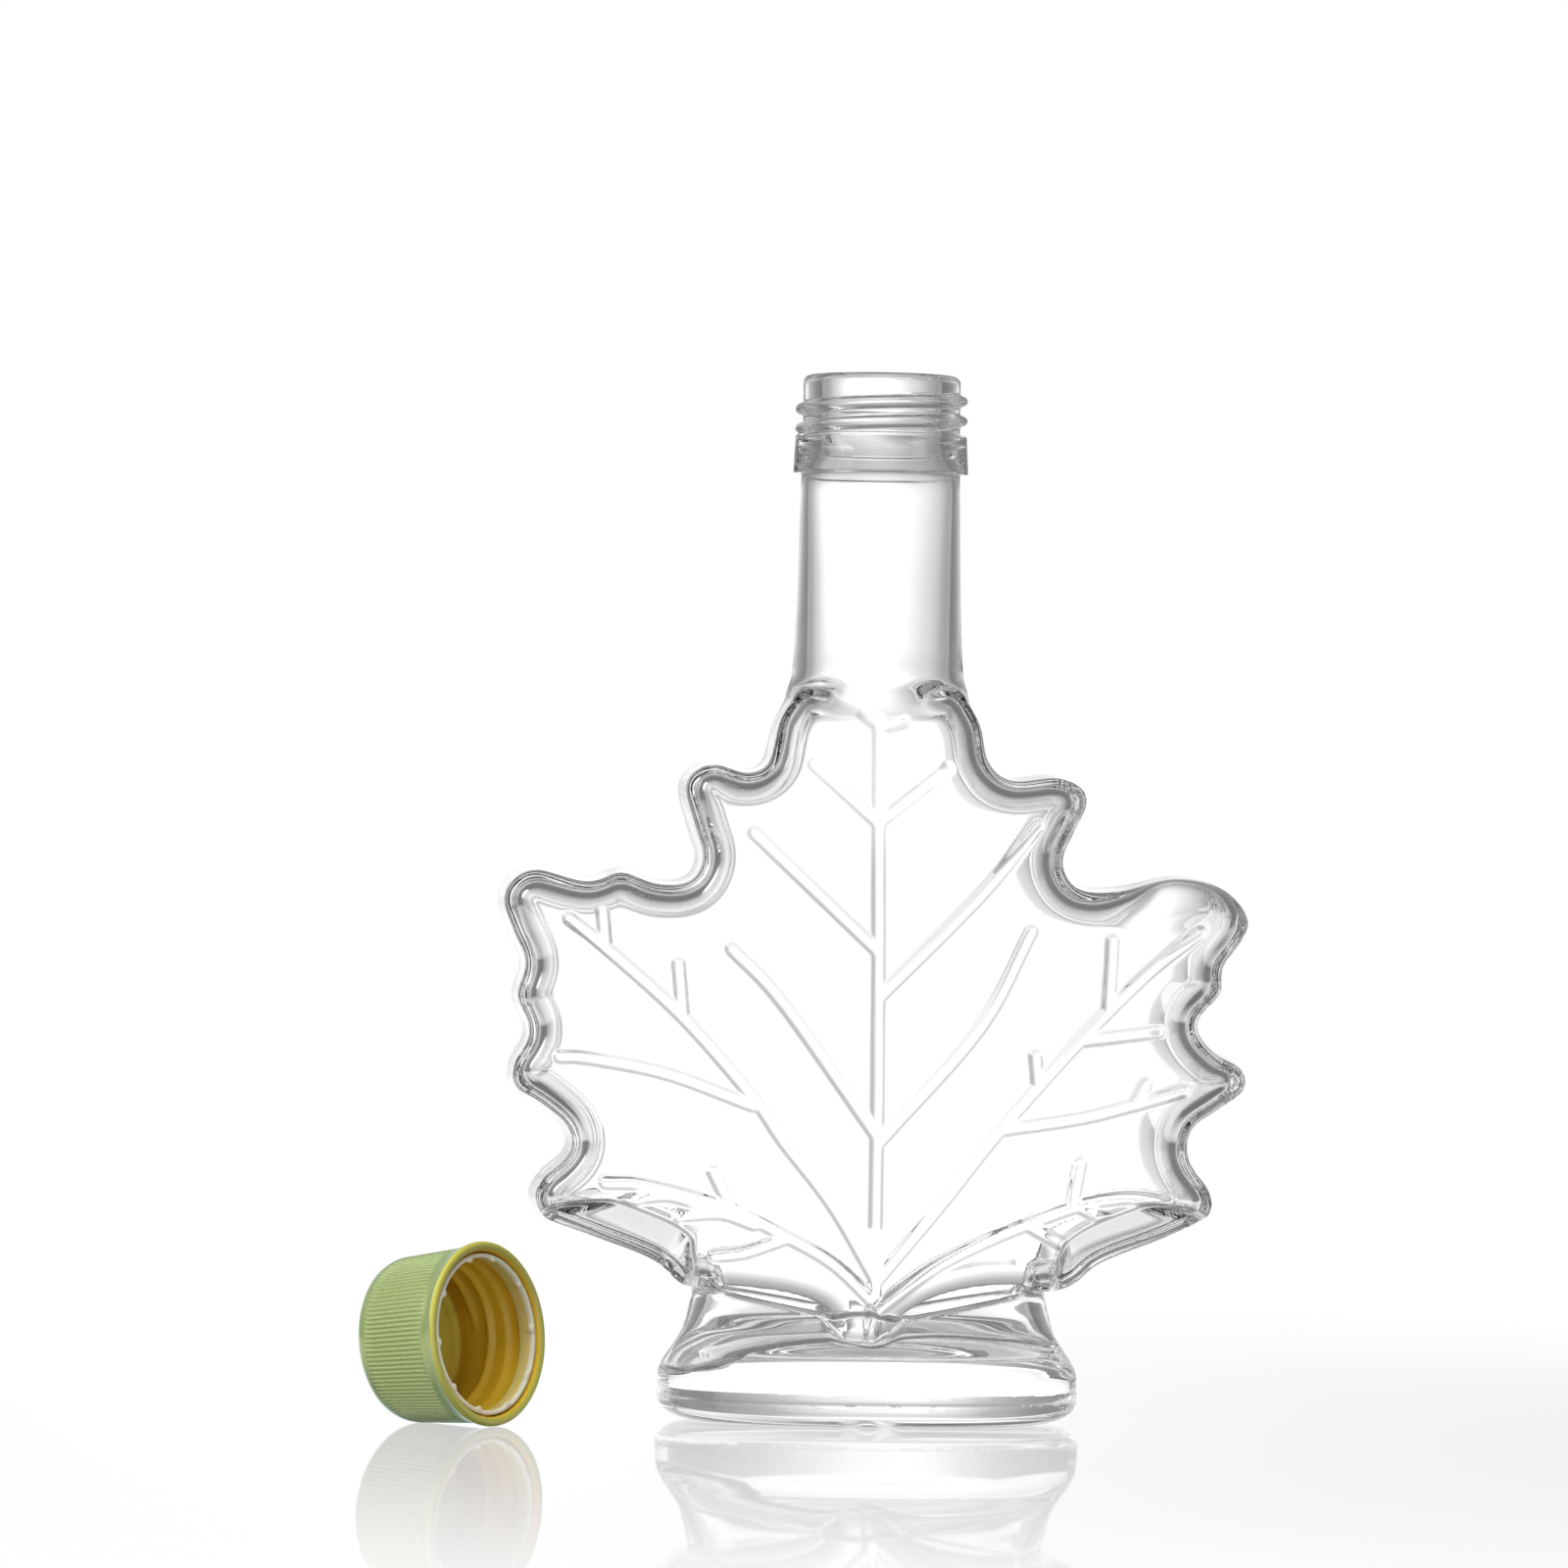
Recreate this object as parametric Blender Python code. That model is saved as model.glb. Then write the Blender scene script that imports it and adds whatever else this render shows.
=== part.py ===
"""An empty glass syrup bottle in the shape of a maple leaf, with its screw cap lying beside it.

Lengths are written in millimetres and turned into metres by MM. The origin is the middle of the
bottle's base. +Z runs up through the neck and -Y is the side with the raised leaf veins.
"""

import math

import bmesh
import bpy
from mathutils import Matrix, Vector
from mathutils.geometry import delaunay_2d_cdt

MM = 0.001

# Glass body
LEAF_DEPTH = 20.8
WALL = 3.0
PANEL_WALL = 2.5
OUTLINE_STEP = 3.0
CAVITY_STEP = 4.6
GRID_STEP = 9.0
VEIN_HEIGHT = 0.9
VEIN_HALF_WIDTH = 1.15
RING_SPACING = 1.5
NEAREST_SHARE = 0.985
CAVITY_EDGE_SHARE = 0.62
CAVITY_EDGE_ROUNDING = 4.0
LEAF_REACH = 70.0

# Neck and screw finish
BOTTLE_HEIGHT = 170.0
MOUTH_BORE_RADIUS = 10.6
NECK_BORE_RADIUS = 11.4
THREAD_ROOT = 12.85
THREAD_CREST = 14.05
THREAD_PITCH = 3.2
THREAD_LOWEST = 160.7
THREAD_TURNS = 1.83
THREAD_START = 120.0
THREAD_HALF_HEIGHT = 0.9
THREAD_SEGMENTS = 40
NECK_SEGMENTS = 48
BORE_SEGMENTS = 32

# Oval foot
FOOT_SEGMENTS = 56
FOOT_POWER = 2.4
FOOT_HOLLOW_SEGMENTS = 32
BASE_THICKNESS = 10.4

# Cap, along its own axis from the closed end to the mouth
CAP_LENGTH = 17.6
CAP_MOUTH_RADIUS = 14.85
CAP_BODY_RADIUS = 13.95
CAP_END_RADIUS = 13.2
CAP_RIBS = 60
RIB_DEPTH = 0.3
CAP_AXIS_HEIGHT = 14.78
CAP_MOUTH_PLACE = (-61.7, -30.3)
CAP_TURN = 51.8
CAP_TIP = 6.0
CAP_BORE = 12.4
CAP_MOUTH_BORE = 13.2
CAP_MOUTH_DEPTH = 6.2
CAP_TOP_THICKNESS = 1.5
CAP_THREAD_DEPTH = 0.9
CAP_THREAD_START = 3.6
CAP_THREAD_TURNS = 1.5
CAP_THREAD_HALF_HEIGHT = 0.8
CAP_THREAD_SEGMENTS = 32
LINER_RADIUS = 11.1
LINER_THICKNESS = 1.5
BAND_WALL = 0.7
BAND_FROM_MOUTH = 3.6
BAND_SET_BACK = 0.7
CAP_SEGMENTS = 48
GAP = 0.3

# Angles over which an edge is shaded sharp
GLASS_SHARP_ANGLE = 50.0
CAP_SHARP_ANGLE = 35.0

# Block of floor that flattens the lowest spot of the round cap
FLOOR_DEPTH = 20.0
FLOOR_REACH = 120.0

# Leaf outline from the neck down to the foot, (x, z), left side as seen from the front
OUTLINE_LEFT = (
    (0.0, 119.4), (-12.8, 119.4),
    (-14.7, 117.3), (-16.9, 113.6), (-17.8, 110.1), (-18.8, 106.8), (-21.7, 105.6),
    (-26.5, 106.9), (-30.3, 105.8), (-32.3, 102.4), (-30.6, 95.7), (-29.3, 91.2), (-31.0, 88.0),
    (-35.8, 87.6), (-41.7, 89.4), (-47.1, 87.8), (-55.3, 89.6), (-59.6, 87.7), (-61.3, 83.9),
    (-59.6, 78.6), (-57.6, 73.7), (-58.9, 68.4), (-56.8, 62.7), (-59.2, 57.6), (-58.9, 53.4),
    (-54.8, 50.8), (-50.5, 47.3), (-49.9, 43.7), (-53.9, 39.8), (-55.6, 36.1), (-53.4, 32.3),
    (-45.7, 29.4), (-35.8, 25.7), (-32.0, 22.4), (-29.2, 21.2),
    (-22.4, 20.7), (-14.6, 19.8), (-9.4, 18.2), (-7.7, 15.8), (-6.8, 12.6), (-2.5, 11.6),
)

# The same on the right side
OUTLINE_RIGHT = (
    (0.0, 119.4), (12.8, 119.4),
    (14.7, 117.0), (16.8, 113.0), (18.0, 107.6), (21.3, 105.0), (28.4, 105.6),
    (32.9, 103.9), (34.1, 100.7), (32.1, 95.9), (30.3, 91.2), (32.7, 87.6), (39.6, 87.5),
    (48.6, 89.3), (56.5, 87.6), (60.5, 82.6), (59.1, 78.2), (56.4, 74.4), (56.1, 70.1),
    (52.4, 65.4), (55.0, 61.5), (59.5, 58.9), (60.2, 54.7), (55.9, 51.2), (51.7, 48.0),
    (51.4, 43.7), (54.9, 38.5), (54.6, 34.0), (48.4, 30.5), (37.7, 26.1), (33.2, 22.5),
    (29.0, 21.2), (22.5, 21.4), (16.5, 21.0), (10.6, 19.5), (6.0, 17.0), (3.4, 14.6), (2.0, 12.4),
    (-2.5, 11.6),
)

# Half depth of the leaf against height: a little more at the stem, less where it runs into the neck
DEPTH_BY_HEIGHT = (
    (11.0, 22.6), (15.0, 21.2), (19.0, LEAF_DEPTH), (98.0, LEAF_DEPTH),
    (104.0, 20.3), (110.0, 18.9), (115.0, 16.9), (118.5, 15.2), (120.0, 13.4),
)

# Share of the half depth against distance from the outline, (distance, share)
ROUND_EDGE = ((0.0, 0.0), (0.9, 0.78), (1.8, 0.90), (3.2, 0.97), (5.6, 1.0))
SLANTED_FLANK = ((0.0, 0.0), (0.6, 0.39), (7.6, 1.0))
SOFT_SHOULDER = ((0.0, 0.0), (0.9, 0.35), (3.2, 0.64), (5.6, 0.80), (8.5, 0.92), (12.0, 1.0))
RING_DISTANCES = (0.9, 1.8, 3.2, 5.6, 8.5)
CAVITY_RINGS = (1.2, 4.0)

# Raised veins of the front face, (x, z) along each centre line
VEINS = (
    ((-0.5, 113.5), (-0.5, 97.0), (-0.2, 78.0), (0.0, 56.0), (0.0, 46.5), (0.0, 32.5), (0.0, 20.0),
     (-0.6, 13.2)),
    ((0.0, 112.5), (-3.0, 114.6)),
    ((0.0, 112.5), (3.4, 113.6)),
    ((-0.5, 97.0), (-11.0, 106.3)),
    ((-0.5, 97.0), (10.6, 106.0)),
    ((-20.5, 95.2), (-0.5, 76.6)),
    ((25.2, 97.0), (16.0, 85.5), (0.5, 69.5)),
    ((-23.8, 76.5), (-15.3, 67.7), (0.0, 46.7)),
    ((24.4, 80.0), (16.3, 64.3), (0.5, 45.9)),
    ((-50.0, 81.0), (-44.4, 76.7), (-31.5, 65.4), (-19.8, 52.4), (-15.0, 45.7), (-7.0, 35.6), (0.0, 24.0)),
    ((-32.3, 74.0), (-31.5, 65.6)),
    ((-44.6, 82.0), (-44.1, 76.6)),
    ((-51.2, 58.8), (-46.6, 58.6), (-34.0, 56.3), (-20.1, 51.4)),
    ((-43.5, 38.7), (-37.0, 38.3), (-24.2, 35.0), (-14.7, 30.6), (-6.8, 26.2), (0.0, 20.0)),
    ((-26.2, 40.7), (-23.0, 34.4)),
    ((-39.8, 36.0), (-33.7, 36.8), (-28.7, 35.6)),
    ((-31.6, 33.5), (-25.0, 34.0), (-19.5, 32.3)),
    ((-25.8, 27.2), (-21.0, 27.8), (-14.7, 30.0)),
    ((51.5, 80.2), (43.0, 73.3), (32.1, 62.1), (19.7, 47.8), (10.4, 35.8), (0.0, 23.1)),
    ((37.5, 78.7), (37.0, 68.0)),
    ((45.1, 64.2), (33.2, 62.6)),
    ((25.3, 60.0), (25.8, 55.4)),
    ((49.2, 54.7), (40.1, 52.0), (32.3, 50.0), (20.5, 48.1)),
    ((43.2, 55.7), (41.4, 52.3)),
    ((46.6, 36.8), (40.4, 37.4), (33.3, 36.2), (24.6, 33.0), (16.8, 29.6), (9.0, 25.4), (0.6, 18.9)),
    ((32.8, 42.9), (31.7, 36.6)),
    ((32.5, 36.0), (34.4, 35.1), (38.7, 33.1)),
    ((24.6, 32.8), (26.5, 31.7), (30.5, 29.7)),
)

# Turned neck from the lip down, (radius, z)
NECK_PROFILE = (
    (11.9, BOTTLE_HEIGHT), (12.6, 169.6), (THREAD_ROOT, 168.8), (THREAD_ROOT, 160.8), (13.7, 160.3),
    (14.05, 159.4), (14.3, 154.0), (12.95, 153.8), (13.05, 148.0), (13.3, 138.6), (13.5, 130.6),
    (13.75, 124.3), (14.2, 119.0), (14.2, 113.0), (13.0, 106.0),
)

# Bore of the neck from the mouth down, (radius, z)
BORE_PROFILE = (
    (MOUTH_BORE_RADIUS + 0.6, BOTTLE_HEIGHT + 1.0), (MOUTH_BORE_RADIUS + 0.5, BOTTLE_HEIGHT),
    (MOUTH_BORE_RADIUS, 168.8), (MOUTH_BORE_RADIUS, 160.0), (NECK_BORE_RADIUS, 152.0),
    (NECK_BORE_RADIUS, 122.0), (11.3, 114.0), (10.7, 104.0),
)

# Oval foot from the base up, (half width, half depth, z)
FOOT_SECTIONS = (
    (30.6, 20.4, 0.0), (32.8, 22.4, 0.7), (34.0, 23.6, 2.2), (34.4, 24.0, 4.4), (34.3, 24.0, 7.6),
    (33.5, 24.0, 9.6), (32.4, 23.4, 11.2), (31.4, 21.6, 12.6), (30.2, 19.0, 14.6),
    (29.5, 17.4, 17.4), (28.9, 16.9, 20.2), (25.5, 15.0, 24.0),
)

# Hollow of the foot from its floor up, (half width, half depth, z)
FOOT_HOLLOW = (
    (22.0, 12.6, BASE_THICKNESS), (26.6, 15.4, 11.5), (27.6, 15.8, 12.8), (27.2, 15.0, 15.0),
    (26.4, 14.3, 18.0), (25.4, 14.0, 22.0), (24.0, 13.4, 26.0),
)


def clear_scene():
    """Empty the scene of objects."""
    for item in list(bpy.data.objects):
        bpy.data.objects.remove(item, do_unlink=True)


def material(name, colour, roughness, metallic=0.0, transmission=0.0):
    """One plain Principled material."""
    made = bpy.data.materials.new(name)
    made.use_nodes = True
    shader = made.node_tree.nodes["Principled BSDF"]
    shader.inputs["Base Color"].default_value = (*colour, 1.0)
    shader.inputs["Roughness"].default_value = roughness
    shader.inputs["Metallic"].default_value = metallic
    shader.inputs["Transmission Weight"].default_value = transmission
    return made


def add_object(name, points, faces):
    """A mesh object from points in millimetres, with its faces turned outwards."""
    mesh = bpy.data.meshes.new(name)
    mesh.from_pydata([Vector(point) * MM for point in points], [], faces)
    work = bmesh.new()
    work.from_mesh(mesh)
    bmesh.ops.recalc_face_normals(work, faces=work.faces)
    work.to_mesh(mesh)
    work.free()
    item = bpy.data.objects.new(name, mesh)
    bpy.context.scene.collection.objects.link(item)
    return item


def read_off(pairs, where):
    """Straight-line reading of a list of (position, value) pairs."""
    if where <= pairs[0][0]:
        return pairs[0][1]
    for (left, low), (right, high) in zip(pairs, pairs[1:]):
        if where <= right:
            return low + (high - low) * (where - left) / (right - left)
    return pairs[-1][1]


def smooth_path(corners, step):
    """A Catmull-Rom curve through the corners, with points about one step apart."""
    ends = [2 * Vector(corners[0]) - Vector(corners[1])]
    ends += [Vector(corner) for corner in corners]
    ends.append(2 * Vector(corners[-1]) - Vector(corners[-2]))
    path = []
    for before, start, stop, after in zip(ends, ends[1:], ends[2:], ends[3:]):
        pieces = max(1, round((stop - start).length / step))
        for index in range(pieces):
            t = index / pieces
            path.append(0.5 * (2 * start + (stop - before) * t
                               + (2 * before - 5 * start + 4 * stop - after) * t * t
                               + (3 * start - 3 * stop + after - before) * t ** 3))
    path.append(ends[-2])
    return path


def leaf_outline(step):
    """The closed outline, counter-clockwise from the neck's left side."""
    left = smooth_path(OUTLINE_LEFT, step)
    right = smooth_path(OUTLINE_RIGHT, step)
    return left + right[-2:0:-1]


def inward_normals(outline):
    """Unit normals of a counter-clockwise outline that point into it."""
    count = len(outline)
    normals = []
    for index in range(count):
        along = outline[(index + 1) % count] - outline[index - 1]
        normals.append(Vector((-along.y, along.x)).normalized())
    return normals


def nearest_on(outline, point):
    """Distance from a point to the outline, and the nearest edge's number."""
    best = (1e9, 0)
    for index, start in enumerate(outline):
        along = outline[(index + 1) % len(outline)] - start
        share = max(0.0, min(1.0, (point - start).dot(along) / along.length_squared))
        gap = (start + along * share - point).length
        if gap < best[0]:
            best = (gap, index)
    return best


def is_inside(outline, point):
    """True where the point lies inside the closed outline."""
    inside = False
    for index, a in enumerate(outline):
        b = outline[index - 1]
        if (a.y > point.y) != (b.y > point.y):
            if point.x < (b.x - a.x) * (point.y - a.y) / (b.y - a.y) + a.x:
                inside = not inside
    return inside


def inner_ring(outline, distance, spacing):
    """Points at one distance inside the outline, in order, without those that lie nearer to another edge."""
    ring = []
    for start, normal in zip(outline, inward_normals(outline)):
        point = start + normal * distance
        if nearest_on(outline, point)[0] < distance * NEAREST_SHARE:
            continue
        if not is_inside(outline, point):
            continue
        if ring and (point - ring[-1]).length < spacing:
            continue
        ring.append(point)
    if (ring[0] - ring[-1]).length < spacing:
        ring.pop()
    return ring


def vein_height(point):
    """Height of the raised veins over the panel at a point."""
    height = 0.0
    for vein in VEINS:
        for start, stop in zip(vein, vein[1:]):
            start = Vector(start)
            along = Vector(stop) - start
            share = max(0.0, min(1.0, (point - start).dot(along) / along.length_squared))
            gap = (start + along * share - point).length
            if gap < VEIN_HALF_WIDTH:
                height = max(height, VEIN_HEIGHT * (1.0 - (gap / VEIN_HALF_WIDTH) ** 2))
    return height


def ramp(low, high, value):
    """A smooth step from 0 at low to 1 at high."""
    share = max(0.0, min(1.0, (value - low) / (high - low)))
    return share * share * (3 - 2 * share)


def edge_share(outline, normals, point):
    """Share of the half depth at a point: round edges, slanted lower flanks and one soft shoulder."""
    distance, index = nearest_on(outline, point)
    start = outline[index]
    up = normals[index].y
    share = read_off(ROUND_EDGE, distance)
    flank = ramp(0.35, 0.75, up) * ramp(37.0, 33.0, start.y) * ramp(26.0, 30.0, abs(start.x))
    shoulder = ramp(-0.3, -0.7, up) * ramp(80.0, 86.0, start.y) * ramp(36.0, 45.0, start.x)
    share += (read_off(SLANTED_FLANK, distance) - share) * flank
    share += (read_off(SOFT_SHOULDER, distance) - share) * shoulder
    return share


def grid_points(outline, clear):
    """Evenly spread points inside the outline, clear of its edge."""
    points = []
    reach = int(LEAF_REACH / GRID_STEP)
    for row in range(int(BOTTLE_HEIGHT / GRID_STEP)):
        for column in range(-reach, reach + 1):
            shift = 0.5 * (row % 2)
            point = Vector(((column + shift) * GRID_STEP, row * GRID_STEP))
            if is_inside(outline, point) and nearest_on(outline, point)[0] > clear:
                points.append(point)
    return points


def vein_rails():
    """Lines along each vein's crest and both its feet, as (points, edges)."""
    points, edges = [], []
    for vein in VEINS:
        path = [Vector(point) for point in vein]
        sides = []
        for index, here in enumerate(path):
            along = path[min(index + 1, len(path) - 1)] - path[max(index - 1, 0)]
            sides.append(Vector((-along.y, along.x)).normalized())
        for offset in (-VEIN_HALF_WIDTH, 0.0, VEIN_HALF_WIDTH):
            first = len(points)
            points += [here + side * offset for here, side in zip(path, sides)]
            edges += [(first + index, first + index + 1) for index in range(len(path) - 1)]
    return points, edges


def flat_net(outline, extra_points, extra_edges):
    """A triangle net over the outline's inside that keeps every given edge, the outline's points first."""
    points = list(outline) + list(extra_points)
    count = len(outline)
    edges = [(index, (index + 1) % count) for index in range(count)]
    edges += [(a + count, b + count) for a, b in extra_edges]
    net, _, faces, origins, _, _ = delaunay_2d_cdt(points, edges, [], 0, 1e-4)
    if any(index not in origin for index, origin in enumerate(origins[:count])):
        raise ValueError("the rim crosses itself")
    middles = [(net[face[0]] + net[face[1]] + net[face[2]]) / 3 for face in faces]
    return net, [tuple(face) for face, middle in zip(faces, middles) if is_inside(outline, middle)]


def leaf_block(name, outline, ring_distances, depth_at, veins_in_front):
    """A closed block: a wall that rises both ways from the outline, and a net over each rim."""
    count = len(outline)
    first_ring, *other_rings = ring_distances
    rim = [point + normal * first_ring for point, normal in zip(outline, inward_normals(outline))]
    rings = grid_points(outline, ring_distances[-1] + 2.0)
    for distance in other_rings:
        rings += inner_ring(outline, distance, RING_SPACING)
    points = [(point.x, 0.0, point.y) for point in outline]
    faces = []
    for side in (-1, 1):
        veined = veins_in_front and side < 0
        rails, rail_edges = vein_rails() if veined else ([], [])
        spread = [point for point in rings if not veined or vein_height(point) == 0.0]
        net, net_faces = flat_net(rim, rails + spread, rail_edges)
        first = len(points)
        for point in net:
            depth = depth_at(point) + (vein_height(point) if veined else 0.0)
            points.append((point.x, side * depth, point.y))
        faces += [[first + index for index in face] for face in net_faces]
        for index in range(count):
            beside = (index + 1) % count
            faces.append((index, beside, first + beside, first + index))
    return add_object(name, points, faces)


def leaf_body():
    """The solid leaf with rounded edges, slanted lower flanks and veins on its front."""
    outline = leaf_outline(OUTLINE_STEP)
    normals = inward_normals(outline)

    def depth_at(point):
        return read_off(DEPTH_BY_HEIGHT, point.y) * edge_share(outline, normals, point)

    return leaf_block("leaf", outline, RING_DISTANCES, depth_at, True)


def leaf_hollow():
    """The inside of the leaf: its outline drawn in by the wall, without the veins."""
    fine = leaf_outline(OUTLINE_STEP)
    normals = inward_normals(fine)
    outline = inner_ring(fine, WALL, CAVITY_STEP)

    def depth_at(point):
        outer = read_off(DEPTH_BY_HEIGHT, point.y) * edge_share(fine, normals, point)
        inwards = nearest_on(outline, point)[0] / CAVITY_EDGE_ROUNDING
        share = min(1.0, CAVITY_EDGE_SHARE + (1.0 - CAVITY_EDGE_SHARE) * inwards)
        return max(1.0, (outer - PANEL_WALL) * share)

    return leaf_block("leaf_hollow", outline, CAVITY_RINGS, depth_at, False)


def oval_loft(name, sections, segments, power):
    """A closed loft through level oval rings, each (half width, half depth, z)."""
    points, faces = [], []
    for half_width, half_depth, z in sections:
        for index in range(segments):
            angle = 2 * math.pi * (index + 0.5) / segments
            c, s = math.cos(angle), math.sin(angle)
            reach = (abs(c) ** power + abs(s) ** power) ** (-1 / power)
            points.append((half_width * reach * c, half_depth * reach * s, z))
    for ring in range(len(sections) - 1):
        for index in range(segments):
            here = ring * segments + index
            beside = ring * segments + (index + 1) % segments
            faces.append((here, beside, beside + segments, here + segments))
    faces.append(tuple(range(segments - 1, -1, -1)))
    faces.append(tuple(range((len(sections) - 1) * segments, len(sections) * segments)))
    return add_object(name, points, faces)


def turned(name, profile, segments):
    """A round solid of revolution from (radius, z) pairs."""
    return oval_loft(name, [(radius, radius, z) for radius, z in profile], segments, 2.0)


def helix_ridge(name, root, crest, lowest, turns, half_height, segments, start_angle=0.0):
    """A screw thread's ridge with ends that run out, reaching a little into the wall it stands on."""
    sunk = 0.4 if crest > root else -0.4
    steps = round(turns * segments)
    runout = segments / 10
    points, faces = [], []
    for step in range(steps + 1):
        angle = start_angle + 2 * math.pi * step / segments
        z = lowest + THREAD_PITCH * step / segments
        rise = min(1.0, step / runout, (steps - step) / runout)
        tip = root + (crest - root) * max(rise, 0.12)
        section = ((root - sunk, -half_height), (tip, -half_height * 0.3),
                   (tip, half_height * 0.3), (root - sunk, half_height))
        for radius, height in section:
            points.append((radius * math.cos(angle), radius * math.sin(angle), z + height))
    for step in range(steps):
        for corner in range(4):
            a = step * 4 + corner
            b = step * 4 + (corner + 1) % 4
            faces.append((a, b, b + 4, a + 4))
    faces.append((3, 2, 1, 0))
    faces.append(tuple(steps * 4 + corner for corner in range(4)))
    return add_object(name, points, faces)


def boolean(target, operation, operand=None, collection=None):
    """One Boolean on the target, applied, after which what it used is removed."""
    step = target.modifiers.new(operation, "BOOLEAN")
    step.operation = operation
    step.solver = "EXACT"
    if collection is None:
        step.object = operand
        used = [operand]
    else:
        step.operand_type = "COLLECTION"
        step.collection = collection
        used = list(collection.objects)
    bpy.context.view_layer.update()
    evaluated = target.evaluated_get(bpy.context.evaluated_depsgraph_get())
    result = bpy.data.meshes.new_from_object(evaluated)
    target.modifiers.remove(step)
    target.data = result
    for item in used:
        bpy.data.objects.remove(item, do_unlink=True)
    if collection is not None:
        bpy.data.collections.remove(collection)


def tidy_mesh(item, finish, angle):
    """Weld near points, split faces into triangles, set the finish and shade round faces smooth."""
    work = bmesh.new()
    work.from_mesh(item.data)
    bmesh.ops.remove_doubles(work, verts=work.verts, dist=0.02 * MM)
    bmesh.ops.dissolve_degenerate(work, edges=work.edges, dist=0.01 * MM)
    bmesh.ops.triangulate(work, faces=work.faces)
    bmesh.ops.recalc_face_normals(work, faces=work.faces)
    work.to_mesh(item.data)
    work.free()
    item.data.materials.clear()
    item.data.materials.append(finish)
    item.data.shade_smooth()
    item.data.set_sharp_from_angle(angle=math.radians(angle))


def bottle(finish):
    """The glass: leaf, neck, thread and foot joined, then hollowed out from the mouth."""
    body = leaf_body()
    body.name = "bottle"
    joined = bpy.data.collections.new("joined")
    bpy.context.scene.collection.children.link(joined)
    pieces = [
        turned("neck", NECK_PROFILE, NECK_SEGMENTS),
        oval_loft("foot", FOOT_SECTIONS, FOOT_SEGMENTS, FOOT_POWER),
        helix_ridge("thread", THREAD_ROOT, THREAD_CREST, THREAD_LOWEST, THREAD_TURNS,
                    THREAD_HALF_HEIGHT, THREAD_SEGMENTS, math.radians(THREAD_START)),
    ]
    for piece in pieces:
        bpy.context.scene.collection.objects.unlink(piece)
        joined.objects.link(piece)
    boolean(body, "UNION", collection=joined)
    boolean(body, "DIFFERENCE", leaf_hollow())
    boolean(body, "DIFFERENCE", oval_loft("foot_hollow", FOOT_HOLLOW, FOOT_HOLLOW_SEGMENTS, FOOT_POWER))
    boolean(body, "DIFFERENCE", turned("bore", BORE_PROFILE, BORE_SEGMENTS))
    tidy_mesh(body, finish, GLASS_SHARP_ANGLE)


def cap_placement():
    """The cap lying on its tapered side, its mouth turned to the front right and a little upwards."""
    turn = math.radians(CAP_TURN)
    tip = math.radians(CAP_TIP)
    ahead = Vector((math.sin(turn), -math.cos(turn), 0.0))
    above = Vector((0.0, 0.0, 1.0))
    axis = ahead * math.cos(tip) + above * math.sin(tip)
    up = above * math.cos(tip) - ahead * math.sin(tip)
    side = up.cross(axis)
    mouth = Vector((CAP_MOUTH_PLACE[0], CAP_MOUTH_PLACE[1], CAP_AXIS_HEIGHT))
    start = (mouth - axis * CAP_LENGTH) * MM
    return Matrix.Translation(start) @ Matrix((side, up, axis)).transposed().to_4x4()


def cap_outside():
    """The solid outside of the cap, with lengthwise ribs between its rounded end and smooth band."""
    rings = (
        (CAP_END_RADIUS - 2.6, 0.0, False), (CAP_END_RADIUS - 0.7, 0.8, False),
        (CAP_END_RADIUS, 2.4, False), (CAP_END_RADIUS + RIB_DEPTH / 2, 2.9, True),
        (CAP_BODY_RADIUS + RIB_DEPTH / 2, 14.4, True), (CAP_BODY_RADIUS + 0.2, 14.7, False),
        (CAP_MOUTH_RADIUS, 16.8, False), (CAP_MOUTH_RADIUS - 0.5, CAP_LENGTH, False),
    )
    count = 2 * CAP_RIBS
    points, faces = [], []
    for radius, z, ribbed in rings:
        for index in range(count):
            angle = 2 * math.pi * index / count
            reach = radius - (RIB_DEPTH if ribbed and index % 2 else 0.0)
            points.append((reach * math.cos(angle), reach * math.sin(angle), z))
    for ring in range(len(rings) - 1):
        for index in range(count):
            here = ring * count + index
            beside = ring * count + (index + 1) % count
            faces.append((here, beside, beside + count, here + count))
    faces.append(tuple(range(count - 1, -1, -1)))
    faces.append(tuple(range((len(rings) - 1) * count, len(rings) * count)))
    return add_object("cap_shell", points, faces)


def floor_cutter():
    """Everything below the floor, to give a round piece its small flat spot."""
    low, high, reach = -FLOOR_DEPTH, 0.0, FLOOR_REACH
    points = [(x, y, z) for z in (low, high) for y in (-reach, reach) for x in (-reach, reach)]
    faces = ((0, 2, 3, 1), (4, 5, 7, 6), (0, 1, 5, 4), (2, 6, 7, 3), (0, 4, 6, 2), (1, 3, 7, 5))
    return add_object("floor_cutter", points, faces)


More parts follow.
